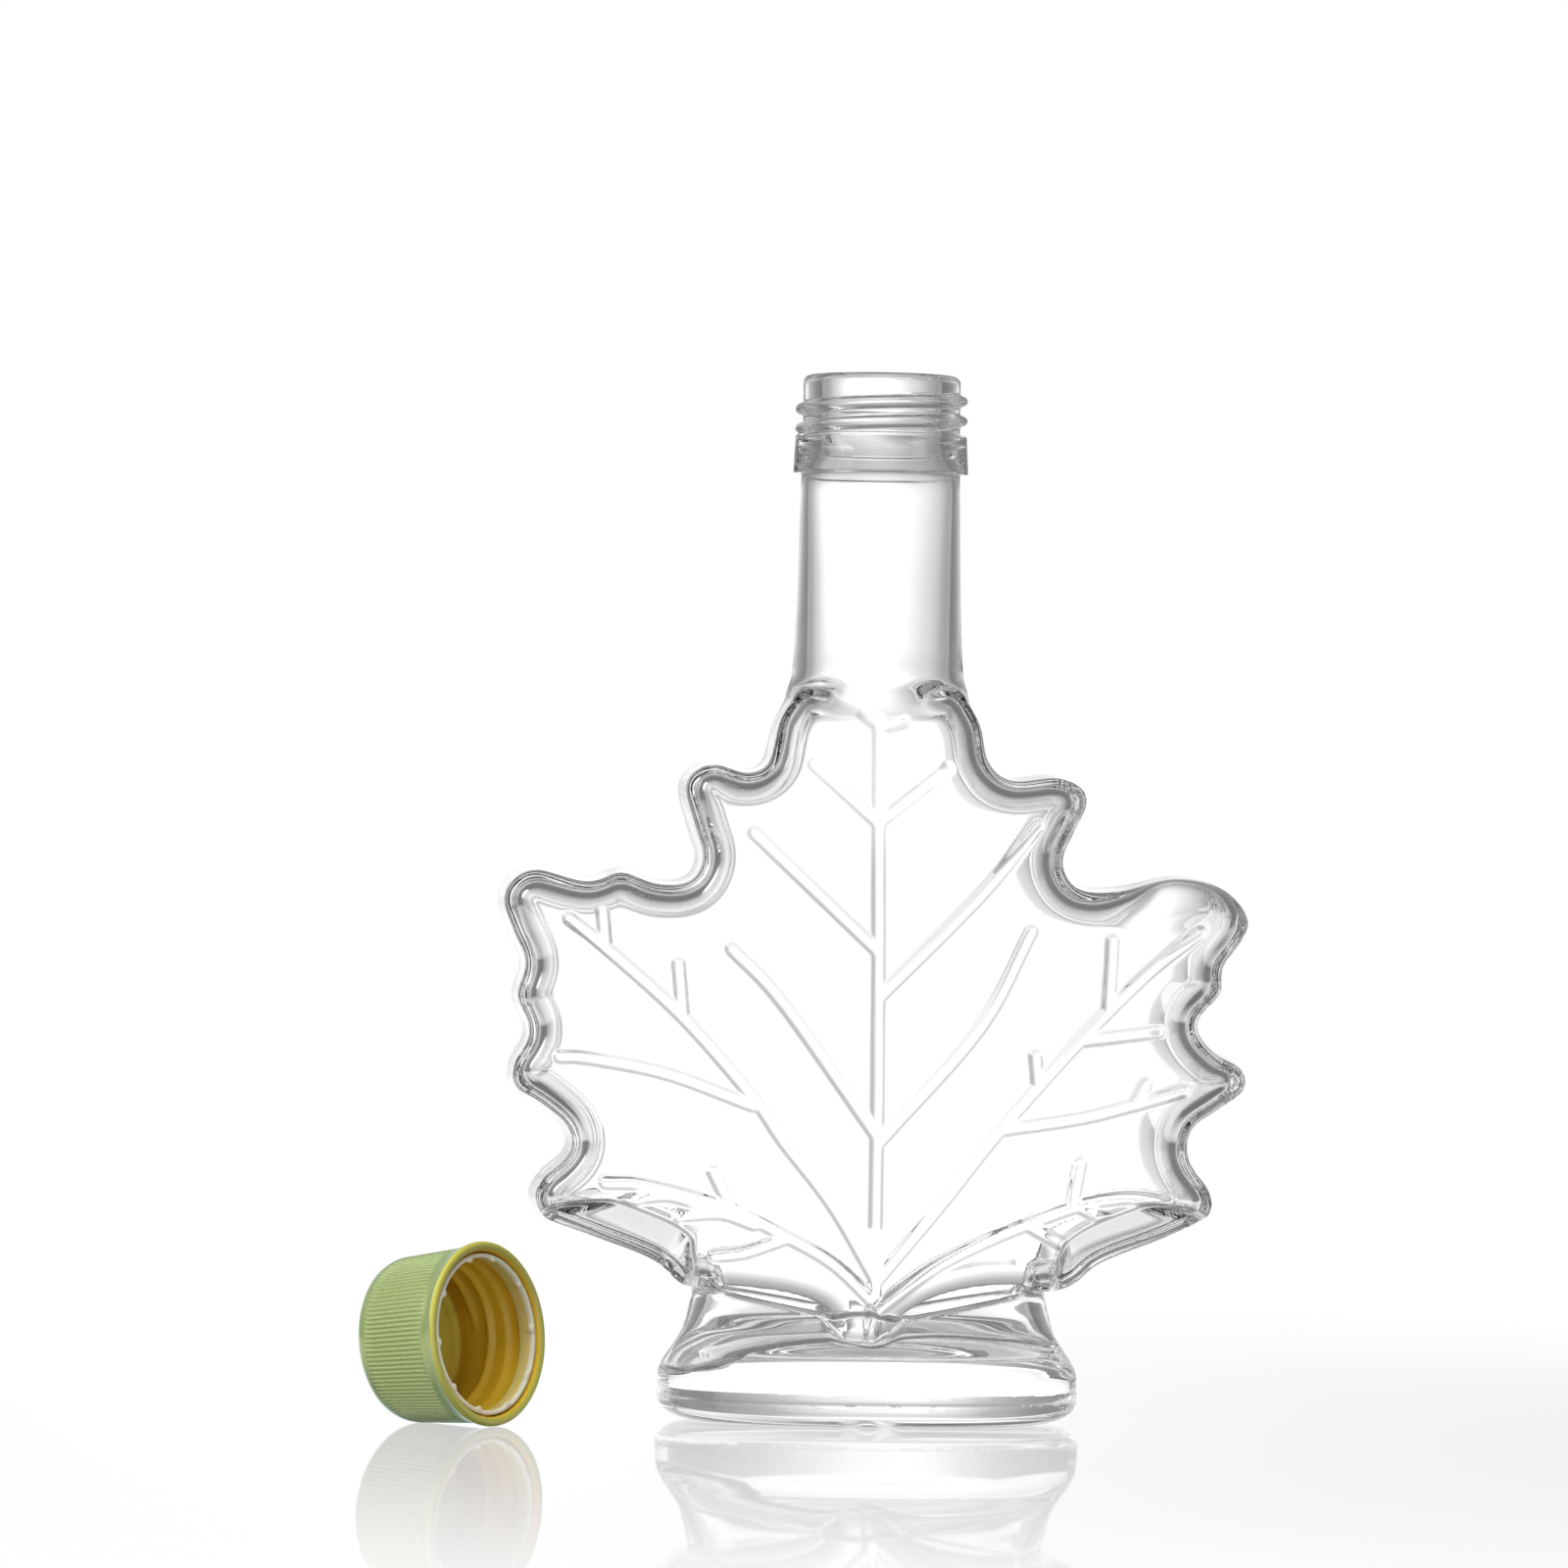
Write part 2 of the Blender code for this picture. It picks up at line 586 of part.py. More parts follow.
def cap(shell_finish, liner_finish, band_finish):
    """The cap's shell, the sealing liner in its end and the clear band in its mouth."""
    place = cap_placement()
    end = CAP_TOP_THICKNESS
    mouth = CAP_LENGTH - CAP_MOUTH_DEPTH
    shell = cap_outside()
    inside = turned("inside", (
        (CAP_BORE - 0.6, end), (CAP_BORE, end + 0.8), (CAP_BORE, mouth), (CAP_MOUTH_BORE, mouth + 0.3),
        (CAP_MOUTH_BORE, CAP_LENGTH - 0.5), (CAP_MOUTH_BORE + 0.5, CAP_LENGTH),
        (CAP_MOUTH_BORE + 0.6, CAP_LENGTH + 1.0)), CAP_SEGMENTS)
    boolean(shell, "DIFFERENCE", inside)
    thread = helix_ridge("cap_thread", CAP_BORE, CAP_BORE - CAP_THREAD_DEPTH, end + CAP_THREAD_START,
                         CAP_THREAD_TURNS, CAP_THREAD_HALF_HEIGHT, CAP_THREAD_SEGMENTS)
    boolean(shell, "UNION", thread)
    shell.data.transform(place)
    boolean(shell, "DIFFERENCE", floor_cutter())
    tidy_mesh(shell, shell_finish, CAP_SHARP_ANGLE)

    low = end + GAP
    high = low + LINER_THICKNESS
    liner = turned("cap_liner", ((LINER_RADIUS - 0.2, low), (LINER_RADIUS, low + 0.3),
                                 (LINER_RADIUS, high - 0.3), (LINER_RADIUS - 0.3, high)), CAP_SEGMENTS)
    liner.data.transform(place)
    tidy_mesh(liner, liner_finish, CAP_SHARP_ANGLE)

    outer = CAP_MOUTH_BORE - GAP
    inner = outer - BAND_WALL
    start = CAP_LENGTH - BAND_FROM_MOUTH
    stop = CAP_LENGTH - BAND_SET_BACK
    band = turned("cap_band", ((outer, start), (outer, stop)), CAP_SEGMENTS)
    hole = turned("band_hole", ((inner, start - 1.0), (inner, stop + 1.0)), CAP_SEGMENTS)
    boolean(band, "DIFFERENCE", hole)
    band.data.transform(place)
    tidy_mesh(band, band_finish, CAP_SHARP_ANGLE)


def main():
    """Build the bottle and its cap."""
    clear_scene()
    glass = material("clear_glass", (0.93, 0.95, 0.95), 0.03, transmission=1.0)
    pearl = material("pearl_green_plastic", (0.30, 0.38, 0.16), 0.35, metallic=0.3)
    soft = material("olive_liner", (0.36, 0.30, 0.05), 0.5)
    clear = material("clear_band", (0.72, 0.70, 0.58), 0.3)
    bottle(glass)
    cap(pearl, soft, clear)


main()
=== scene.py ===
"""An empty glass bottle in the shape of a maple leaf, with its ribbed screw cap lying beside it.

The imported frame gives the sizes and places. This script makes the fine surfaces around it: one glass
body with rounded edges, raised veins, a screw finish and a hollow inside, and a moulded cap of three
pieces. Lengths are in millimetres until a mesh is made, where MM turns them into metres.
"""

import logging
import math
from collections.abc import Callable, Mapping, Sequence
from dataclasses import dataclass
from enum import Enum
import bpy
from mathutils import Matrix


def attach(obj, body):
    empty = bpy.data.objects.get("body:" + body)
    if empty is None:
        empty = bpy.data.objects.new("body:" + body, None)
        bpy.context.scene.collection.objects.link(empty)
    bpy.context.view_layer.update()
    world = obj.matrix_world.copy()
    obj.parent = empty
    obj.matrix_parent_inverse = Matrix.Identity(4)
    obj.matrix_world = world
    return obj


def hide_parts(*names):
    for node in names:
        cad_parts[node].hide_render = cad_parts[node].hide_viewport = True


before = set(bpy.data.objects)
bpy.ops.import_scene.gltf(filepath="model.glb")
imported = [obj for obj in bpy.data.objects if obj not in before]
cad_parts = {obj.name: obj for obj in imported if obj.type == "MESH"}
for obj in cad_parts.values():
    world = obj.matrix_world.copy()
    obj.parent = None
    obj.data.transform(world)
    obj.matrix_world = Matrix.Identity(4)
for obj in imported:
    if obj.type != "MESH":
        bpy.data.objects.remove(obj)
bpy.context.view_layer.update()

from types import MappingProxyType

import bpy
import numpy as np
from mathutils import Matrix, Vector

MM = 0.001
BODY = "root"
FAR = 12.0

log = logging.getLogger("bottle")

Pairs = Sequence[tuple[float, float]]
Array = np.ndarray

# Leaf outline from the neck down to the foot, (x, z), left side as seen from the front
OUTLINE_LEFT: Pairs = (
    (0.0, 119.4), (-12.8, 119.4),
    (-14.7, 117.3), (-16.9, 113.6), (-17.8, 110.1), (-18.8, 106.8), (-21.7, 105.6),
    (-26.5, 106.9), (-30.3, 105.8), (-32.3, 102.4), (-30.6, 95.7), (-29.3, 91.2), (-31.0, 88.0),
    (-35.8, 87.6), (-41.7, 89.4), (-47.1, 87.8), (-55.3, 89.6), (-59.6, 87.7), (-61.3, 83.9),
    (-59.6, 78.6), (-57.6, 73.7), (-58.9, 68.4), (-56.8, 62.7), (-59.2, 57.6), (-58.9, 53.4),
    (-54.8, 50.8), (-50.5, 47.3), (-49.9, 43.7), (-53.9, 39.8), (-55.6, 36.1), (-53.4, 32.3),
    (-45.7, 29.4), (-35.8, 25.7), (-32.0, 22.4), (-29.2, 21.2),
    (-22.4, 20.7), (-14.6, 19.8), (-9.4, 18.2), (-7.7, 15.8), (-6.8, 12.6), (-2.5, 11.6),
)

# The same on the right side
OUTLINE_RIGHT: Pairs = (
    (0.0, 119.4), (12.8, 119.4),
    (14.7, 117.0), (16.8, 113.0), (18.0, 107.6), (21.3, 105.0), (28.4, 105.6),
    (32.9, 103.9), (34.1, 100.7), (32.1, 95.9), (30.3, 91.2), (32.7, 87.6), (39.6, 87.5),
    (48.6, 89.3), (56.5, 87.6), (60.5, 82.6), (59.1, 78.2), (56.4, 74.4), (56.1, 70.1),
    (52.4, 65.4), (55.0, 61.5), (59.5, 58.9), (60.2, 54.7), (55.9, 51.2), (51.7, 48.0),
    (51.4, 43.7), (54.9, 38.5), (54.6, 34.0), (48.4, 30.5), (37.7, 26.1), (33.2, 22.5),
    (29.0, 21.2), (22.5, 21.4), (16.5, 21.0), (10.6, 19.5), (6.0, 17.0), (3.4, 14.6), (2.0, 12.4),
    (-2.5, 11.6),
)

# Half depth of the leaf against height
DEPTH_BY_HEIGHT: Pairs = (
    (11.0, 22.6), (15.0, 21.2), (19.0, 20.8), (98.0, 20.8), (104.0, 20.4), (110.0, 19.0),
    (115.0, 17.0), (120.0, 15.2), (125.0, 14.0), (130.0, 13.0),
)

# Raised veins of the front face, (x, z) along each centre line
VEINS: Sequence[Pairs] = (
    ((-0.5, 113.5), (-0.5, 97.0), (-0.2, 78.0), (0.0, 56.0), (0.0, 46.5), (0.0, 32.5), (0.0, 20.0),
     (-0.6, 13.2)),
    ((0.0, 112.5), (-3.0, 114.6)),
    ((0.0, 112.5), (3.4, 113.6)),
    ((-0.5, 97.0), (-11.0, 106.3)),
    ((-0.5, 97.0), (10.6, 106.0)),
    ((-20.5, 95.2), (-0.5, 76.6)),
    ((25.2, 97.0), (16.0, 85.5), (0.5, 69.5)),
    ((-23.8, 76.5), (-15.3, 67.7), (0.0, 46.7)),
    ((24.4, 80.0), (16.3, 64.3), (0.5, 45.9)),
    ((-50.0, 81.0), (-44.4, 76.7), (-31.5, 65.4), (-19.8, 52.4), (-15.0, 45.7), (-7.0, 35.6), (0.0, 24.0)),
    ((-32.3, 74.0), (-31.5, 65.6)),
    ((-44.6, 82.0), (-44.1, 76.6)),
    ((-51.2, 58.8), (-46.6, 58.6), (-34.0, 56.3), (-20.1, 51.4)),
    ((-43.5, 38.7), (-37.0, 38.3), (-24.2, 35.0), (-14.7, 30.6), (-6.8, 26.2), (0.0, 20.0)),
    ((-26.2, 40.7), (-23.0, 34.4)),
    ((-39.8, 36.0), (-33.7, 36.8), (-28.7, 35.6)),
    ((-31.6, 33.5), (-25.0, 34.0), (-19.5, 32.3)),
    ((-25.8, 27.2), (-21.0, 27.8), (-14.7, 30.0)),
    ((51.5, 80.2), (43.0, 73.3), (32.1, 62.1), (19.7, 47.8), (10.4, 35.8), (0.0, 23.1)),
    ((37.5, 78.7), (37.0, 68.0)),
    ((45.1, 64.2), (33.2, 62.6)),
    ((25.3, 60.0), (25.8, 55.4)),
    ((49.2, 54.7), (40.1, 52.0), (32.3, 50.0), (20.5, 48.1)),
    ((43.2, 55.7), (41.4, 52.3)),
    ((46.6, 36.8), (40.4, 37.4), (33.3, 36.2), (24.6, 33.0), (16.8, 29.6), (9.0, 25.4), (0.6, 18.9)),
    ((32.8, 42.9), (31.7, 36.6)),
    ((32.5, 36.0), (34.4, 35.1), (38.7, 33.1)),
    ((24.6, 32.8), (26.5, 31.7), (30.5, 29.7)),
)

# Radius of the plain neck against height
NECK_RADIUS: Pairs = (
    (104.0, 13.0), (113.0, 14.2), (119.0, 14.2), (124.3, 13.75), (130.6, 13.5), (138.6, 13.3),
    (148.0, 13.05), (153.8, 12.95), (160.8, 12.85), (171.0, 12.85),
)

# Radius of the bore against height
BORE_RADIUS: Pairs = (
    (96.0, 9.5), (104.0, 10.6), (114.0, 11.4), (128.0, 11.6), (152.0, 11.8), (155.0, 11.5), (158.8, 10.2),
    (161.0, 9.8), (168.8, 9.8), (170.0, 10.1), (172.0, 10.6),
)

# Half width and half depth of the oval foot against height
FOOT_WIDTH: Pairs = (
    (0.0, 34.4), (4.4, 34.4), (7.6, 34.3), (9.6, 33.5), (11.2, 32.4), (12.6, 31.4), (14.6, 30.2),
    (17.4, 29.5), (20.2, 28.9), (24.0, 25.5), (27.0, 22.0),
)
FOOT_DEPTH: Pairs = (
    (0.0, 24.0), (9.6, 24.0), (11.2, 23.4), (12.6, 21.6), (14.6, 19.0), (17.4, 17.4), (20.2, 16.9),
    (24.0, 15.0), (27.0, 12.0),
)

# The same for the hollow of the foot
HOLLOW_WIDTH: Pairs = (
    (4.0, 31.4), (8.0, 31.0), (10.0, 30.0), (12.6, 28.4), (14.6, 27.4), (18.0, 26.6), (22.0, 25.6),
    (26.0, 24.0), (30.0, 21.0),
)
HOLLOW_DEPTH: Pairs = (
    (4.0, 16.6), (9.0, 16.2), (12.0, 15.6), (15.0, 15.0), (18.0, 14.6), (22.0, 14.4), (26.0, 13.6),
    (30.0, 11.0),
)

# Height of the hollow's uneven floor against x, with a notch under the stem
HOLLOW_FLOOR: Pairs = (
    (-34.0, 5.8), (-29.0, 6.8), (-18.0, 9.3), (-10.0, 11.0), (-4.2, 11.7), (-1.0, 9.9), (1.2, 9.8),
    (4.4, 12.0), (9.0, 12.7), (13.0, 12.7), (19.0, 12.0), (28.0, 10.7), (34.0, 9.6),
)

# Where the small nibs sit along the edge of the cap's band, in degrees around its axis
NIB_ANGLES = (104.0, 75.5, 38.5, 2.0, -35.0, -70.0, -105.0, -138.7, -175.7, 146.8)

# Brightness of the surroundings: at 0 behind the bottle, at 0.5 to the sides and at 1 in front
SURROUNDINGS: Pairs = (
    (0.0, 1.35), (0.035, 1.25), (0.075, 0.85), (0.14, 0.50), (0.26, 0.29), (0.42, 0.18),
    (0.55, 0.20), (0.67, 0.50), (0.80, 1.0), (1.0, 1.2),
)


def catmull_rom(corners: Pairs, step: float) -> Array:
    """A smooth curve through corner points.

    Args:
        corners: The points that the curve goes through.
        step: About how far apart the curve's points lie.

    Returns:
        The curve's points as an array of two columns.
    """
    given = np.array(corners, float)
    ends = np.vstack([2 * given[0] - given[1], given, 2 * given[-1] - given[-2]])
    path = []
    for before, start, stop, after in zip(ends, ends[1:], ends[2:], ends[3:]):
        count = max(1, round(float(np.linalg.norm(stop - start)) / step))
        t = (np.arange(count) / count)[:, None]
        path.append(0.5 * (2 * start + (stop - before) * t
                           + (2 * before - 5 * start + 4 * stop - after) * t * t
                           + (3 * start - 3 * stop + after - before) * t ** 3))
    path.append(given[-1:])
    return np.vstack(path)


def ramp(low: float, high: float, value: Array) -> Array:
    """A smooth step from 0 at low to 1 at high."""
    share = np.clip((value - low) / (high - low), 0.0, 1.0)
    return share * share * (3 - 2 * share)


def blurred(values: Array, width: float) -> Array:
    """A Gaussian blur along every axis.

    Args:
        values: An array of one or two axes.
        width: The blur's spread, in cells.

    Returns:
        The blurred array, of the same shape.
    """
    reach = max(1, math.ceil(3 * width))
    weights = np.exp(-0.5 * (np.arange(-reach, reach + 1) / width) ** 2)
    weights /= weights.sum()
    for axis in range(values.ndim):
        padding = [(reach, reach) if index == axis else (0, 0) for index in range(values.ndim)]
        padded = np.pad(values, padding, mode="edge")
        count = values.shape[axis]
        values = sum(weight * np.take(padded, range(shift, shift + count), axis)
                     for shift, weight in enumerate(weights))
    return values


def smooth_max(a: Array, b: Array, radius: float) -> Array:
    """The larger of two fields, rounded where they meet."""
    share = np.clip(0.5 + 0.5 * (a - b) / radius, 0.0, 1.0)
    return b + (a - b) * share + radius * share * (1 - share)


def smooth_min(a: Array, b: Array, radius: float) -> Array:
    """The smaller of two fields, rounded where they meet."""
    return -smooth_max(-a, -b, radius)


def rounded_corner(side: Array, over: Array, radius: float) -> Array:
    """What lies inside both of two walls, with their common edge rounded to a radius."""
    a = side + radius
    b = over + radius
    return np.minimum(np.maximum(a, b), 0.0) + np.hypot(np.maximum(a, 0.0), np.maximum(b, 0.0)) - radius


@dataclass(frozen=True)
class SmoothCurve:
    """A value against a position, read from a few points with its bends rounded."""

    low: float
    step: float
    values: Array

    @classmethod
    def through(cls, pairs: Pairs, rounding: float, step: float = 0.1) -> "SmoothCurve":
        """The curve through (position, value) pairs, its bends rounded over a distance."""
        low, high = pairs[0][0] - 3 * rounding, pairs[-1][0] + 3 * rounding
        where = np.arange(low, high, step)
        known = np.interp(where, [pair[0] for pair in pairs], [pair[1] for pair in pairs])
        return cls(low, step, blurred(known, rounding / step))

    def read(self, where: Array) -> Array:
        """The value at each position."""
        return np.interp(where, self.low + self.step * np.arange(len(self.values)), self.values)


@dataclass(frozen=True)
class FlatMap:
    """Values on an even grid over x and z."""

    low: tuple[float, float]
    step: float
    values: Array

    def read(self, x: Array, z: Array) -> Array:
        """The value at each point, by straight lines between the grid's points."""
        across = np.clip((x - self.low[0]) / self.step, 0, self.values.shape[0] - 1.001)
        up = np.clip((z - self.low[1]) / self.step, 0, self.values.shape[1] - 1.001)
        i, j = across.astype(int), up.astype(int)
        s, t = across - i, up - j
        v = self.values
        return ((v[i, j] * (1 - s) + v[i + 1, j] * s) * (1 - t)
                + (v[i, j + 1] * (1 - s) + v[i + 1, j + 1] * s) * t)


@dataclass
class LeafPlan:
    """The leaf seen from the front: how far each point lies inside the outline, and the veins' height."""

    low: tuple[float, float] = (-64.0, 6.0)
    high: tuple[float, float] = (64.0, 124.0)
    step: float = 0.25
    outline_rounding: float = 0.7
    vein_height: float = 0.43
    vein_half_width: float = 1.1
    vein_softness: float = 0.2

    def outline(self) -> Array:
        """The closed outline's points, counter-clockwise from the middle of the neck."""
        left = catmull_rom(OUTLINE_LEFT, 0.5)
        right = catmull_rom(OUTLINE_RIGHT, 0.5)
        return np.vstack([left, right[-2:0:-1]])

    def grid(self) -> tuple[Array, Array]:
        """The x and z of the map's points, each as a two-axis array."""
        x = np.arange(self.low[0], self.high[0] + self.step / 2, self.step)
        z = np.arange(self.low[1], self.high[1] + self.step / 2, self.step)
        return np.meshgrid(x, z, indexing="ij")

    def nearest(self, outline: Array, points: Array) -> tuple[Array, Array]:
        """Distance to the outline and the nearest point on it.

        Args:
            outline: The closed outline's points.
            points: The points to measure from.

        Returns:
            The distances, and the nearest points.
        """
        best = np.full(len(points), np.inf)
        where = np.zeros_like(points)
        guess = np.zeros(len(points), int)
        for first in range(0, len(points), 4000):
            part = points[first:first + 4000]
            gaps = (part[:, :1] - outline[:, 0]) ** 2 + (part[:, 1:] - outline[:, 1]) ** 2
            guess[first:first + 4000] = gaps.argmin(1)
        for offset in (-1, 0):
            start = outline[(guess + offset) % len(outline)]
            along = outline[(guess + offset + 1) % len(outline)] - start
            share = np.clip(((points - start) * along).sum(1) / (along ** 2).sum(1), 0, 1)
            on = start + along * share[:, None]
            gap = np.hypot(*(points - on).T)
            closer = gap < best
            best[closer] = gap[closer]
            where[closer] = on[closer]
        return best, where

    def is_inside(self, outline: Array, x: Array, z: Array) -> Array:
        """True at the grid's points that lie inside the outline."""
        inside = np.zeros(x.shape, bool)
        following = np.roll(outline, -1, axis=0)
        for column, height in enumerate(z[0]):
            crossed = (outline[:, 1] > height) != (following[:, 1] > height)
            a, b = outline[crossed], following[crossed]
            at = np.sort(a[:, 0] + (height - a[:, 1]) / (b[:, 1] - a[:, 1]) * (b[:, 0] - a[:, 0]))
            inside[:, column] = np.searchsorted(at, x[:, 0]) % 2 == 1
        return inside

    def vein_map(self, x: Array, z: Array) -> Array:
        """Height of the veins at each of the grid's points."""
        gap = np.full(x.shape, np.inf)
        for vein in VEINS:
            path = catmull_rom(vein, 0.6)
            reach = self.vein_half_width + self.step
            for start, stop in zip(path, path[1:]):
                low = ((np.minimum(start, stop) - reach - self.low) / self.step).astype(int)
                high = ((np.maximum(start, stop) + reach - self.low) / self.step).astype(int) + 2
                here = (slice(max(low[0], 0), high[0]), slice(max(low[1], 0), high[1]))
                along = stop - start
                dx, dz = x[here] - start[0], z[here] - start[1]
                share = np.clip((dx * along[0] + dz * along[1]) / (along ** 2).sum(), 0, 1)
                near = np.hypot(dx - share * along[0], dz - share * along[1])
                gap[here] = np.minimum(gap[here], near)
        rise = np.clip(1 - (gap / self.vein_half_width) ** 4, 0, 1)
        fade = 1 - 0.55 * ramp(84.0, 110.0, z)
        return blurred(self.vein_height * rise * fade, self.vein_softness / self.step)

    def maps(self) -> dict[str, FlatMap]:
        """The maps of distance, veins, slanted flanks, the lobe with a wide round edge, and the way down."""
        x, z = self.grid()
        outline = self.outline()
        points = np.stack([x.ravel(), z.ravel()], 1)
        gap, on = self.nearest(outline, points)
        inside = self.is_inside(outline, x, z)
        distance = np.where(inside, 1.0, -1.0) * gap.reshape(x.shape)
        on_x, on_z = on[:, 0].reshape(x.shape), on[:, 1].reshape(x.shape)
        up = (z - on_z) / np.where(np.abs(distance) < 1e-6, 1e-6, distance)
        flank = ramp(0.35, 0.75, up) * ramp(37.0, 33.0, on_z) * ramp(26.5, 29.5, np.abs(on_x))
        soft = ramp(84.0, 87.0, on_z) * ramp(38.0, 44.0, on_x)
        found = {
            "distance": blurred(distance, self.outline_rounding / self.step),
            "veins": self.vein_map(x, z),
            "flank": blurred(flank, 1.0 / self.step),
            "soft": blurred(soft, 3.0 / self.step),
            "open": blurred(ramp(29.0, 24.0, z) * ramp(26.0, 21.0, np.abs(x)), 1.0 / self.step),
        }
        return {name: FlatMap(self.low, self.step, values) for name, values in found.items()}


@dataclass
class GlassForm:
    """The glass as a field that is negative inside the glass and zero on its surface."""

    height: float = 170.0
    edge_radius: float = 4.2
    draft: float = 0.05
    side_wall: float = 2.5
    panel_wall: float = 2.4
    cavity_radius: float = 3.0
    flank_start: float = 7.0
    flank_slope: float = 1.8
    thread_root: float = 12.85
    thread_crest: float = 14.05
    thread_pitch: float = 3.2
    thread_height_at_right: float = 162.8
    thread_first_turn: float = -0.656
    thread_last_turn: float = 1.174
    thread_half_height: float = 0.95
    thread_run_out: float = 0.1
    collar_low: float = 153.9
    collar_high: float = 160.3
    foot_power: float = 2.4
    heel_radius: float = 4.0
    push_up: float = 1.3
    floor_radius: float = 1.6
    wave: float = 0.16
    soft_edge: float = 8.5
    soft_edge_thinning: float = 1.2
    flank_wall: float = 1.5
    collar_radius: float = 14.3
    collar_taper: float = 0.05
    lip_radius: float = 1.15
    seam_height: float = 3.4
    seam_depth: float = 0.07
    foot_top: float = 26.0
    way_down: float = 8.0
    ledge_middle: float = 16.6
    ledge_rise: float = 0.2
    ledge_limits: tuple[float, float] = (17.9, 22.6)
    foot_hollow_top: float = 30.0
    bore_bottom: float = 101.0
    neck_bottom: float = 104.0

    def __post_init__(self) -> None:
        """Read the tables once into smooth curves and maps."""
        self.plan = LeafPlan().maps()
        self.depth = SmoothCurve.through(DEPTH_BY_HEIGHT, 1.6)
        self.neck_radius = SmoothCurve.through(NECK_RADIUS, 1.5)
        self.bore_radius = SmoothCurve.through(BORE_RADIUS, 1.1)
        self.foot_width = SmoothCurve.through(FOOT_WIDTH, 0.5)
        self.foot_depth = SmoothCurve.through(FOOT_DEPTH, 0.5)
        self.hollow_width = SmoothCurve.through(HOLLOW_WIDTH, 1.2)
        self.hollow_depth = SmoothCurve.through(HOLLOW_DEPTH, 1.2)
        self.hollow_floor = SmoothCurve.through(HOLLOW_FLOOR, 0.7)

    def half_depth(self, x: Array, z: Array) -> Array:
        """Half depth of the leaf, which slopes back in an arch where the neck grows out of it."""
        arch = 3.0 * np.clip(x / 15.0, -1, 1) ** 2 * ramp(100.0, 110.0, z)
        return self.depth.read(z + arch)

    def leaf(self, x: Array, y: Array, z: Array) -> Array:
        """Field of the leaf's outside."""
        inside = self.plan["distance"].read(x, z)
        out = np.abs(y)
        depth = self.half_depth(x, z)
        veins = np.where(y < 0, self.plan["veins"].read(x, z), 0.0)
        corner = self.edge_radius + self.soft_edge * self.plan["soft"].read(x, z)
        form = rounded_corner(self.draft * out - inside, out - depth - veins, corner)
        return smooth_max(form, self.flank(x, z, inside, out), 0.5)

    def flank(self, x: Array, z: Array, inside: Array, out: Array) -> Array:
        """Field of the slanted flanks under the lower lobes, far inside everywhere else."""
        steep = math.hypot(1.0, self.flank_slope)
        face = (out - self.flank_start - self.flank_slope * inside) / steep
        return face - (1 - self.plan["flank"].read(x, z)) * FAR

    def thread(self, radius: Array, angle: Array, z: Array) -> Array:
        """Field of the right-hand thread's ridge, which runs out at both ends."""
        form = np.full(z.shape, FAR)
        for turn in (-1, 0, 1):
            place = angle / (2 * math.pi) + turn
            middle = self.thread_height_at_right + self.thread_pitch * place
            from_end = np.minimum(place - self.thread_first_turn, self.thread_last_turn - place)
            runs = from_end / self.thread_run_out
            tip = (self.thread_crest - self.thread_root) * np.clip(runs, 0.0, 1.0) + 0.02
            out = np.maximum(radius - self.thread_root, 0.0) / tip
            ridge = (np.hypot(out, (z - middle) / self.thread_half_height) - 1) * 0.9
            form = np.minimum(form, np.where(runs > -0.3, ridge, FAR))
        return form

    def neck(self, x: Array, y: Array, z: Array) -> Array:
        """Field of the neck's outside with its collar, thread and lip."""
        radius = np.hypot(x, y)
        tube = rounded_corner(radius - self.neck_radius.read(z), z - self.height, self.lip_radius)
        middle = (self.collar_low + self.collar_high) / 2
        half = (self.collar_high - self.collar_low) / 2
        side = radius - self.collar_radius + self.collar_taper * (z - self.collar_low)
        collar = rounded_corner(side, np.abs(z - middle) - half, 0.4)
        ridge = self.thread(radius, np.arctan2(y, x), z)
        tube = smooth_min(smooth_min(tube, collar, 0.35), ridge, 0.35)
        return np.maximum(tube, self.neck_bottom - z)

    def oval(self, x: Array, y: Array, width: Array, depth: Array) -> Array:
        """Field of a superellipse of a half width and half depth."""
        power = self.foot_power
        return ((np.abs(x / width) ** power + np.abs(y / depth) ** power) ** (1 / power) - 1) * depth

    def foot(self, x: Array, y: Array, z: Array) -> Array:
        """Field of the oval foot with a round heel and a shallow push-up underneath."""
        side = self.oval(x, y, self.foot_width.read(z), self.foot_depth.read(z))
        side = side - self.seam_depth * np.exp(-((z - self.seam_height) / 0.25) ** 2)
        dome = np.clip(1 - (x / 25.0) ** 2 - (y / 14.5) ** 2, 0, 1)
        floor = self.push_up * dome * dome * (3 - 2 * dome)
        return np.maximum(rounded_corner(side, floor - z, self.heel_radius), z - self.foot_top)

    def waves(self, x: Array, y: Array, z: Array) -> Array:
        """The slow unevenness of the blown inside."""
        across = np.sin(x / 7.3 + 0.6 * np.sin(z / 9.1) + 1.3)
        up = np.sin(z / 8.2 + 0.4 * np.sin(x / 6.7))
        return self.wave * (across * up + 0.6 * np.sin(x / 13.7 - z / 11.9 + y / 8.0 + 2.1))

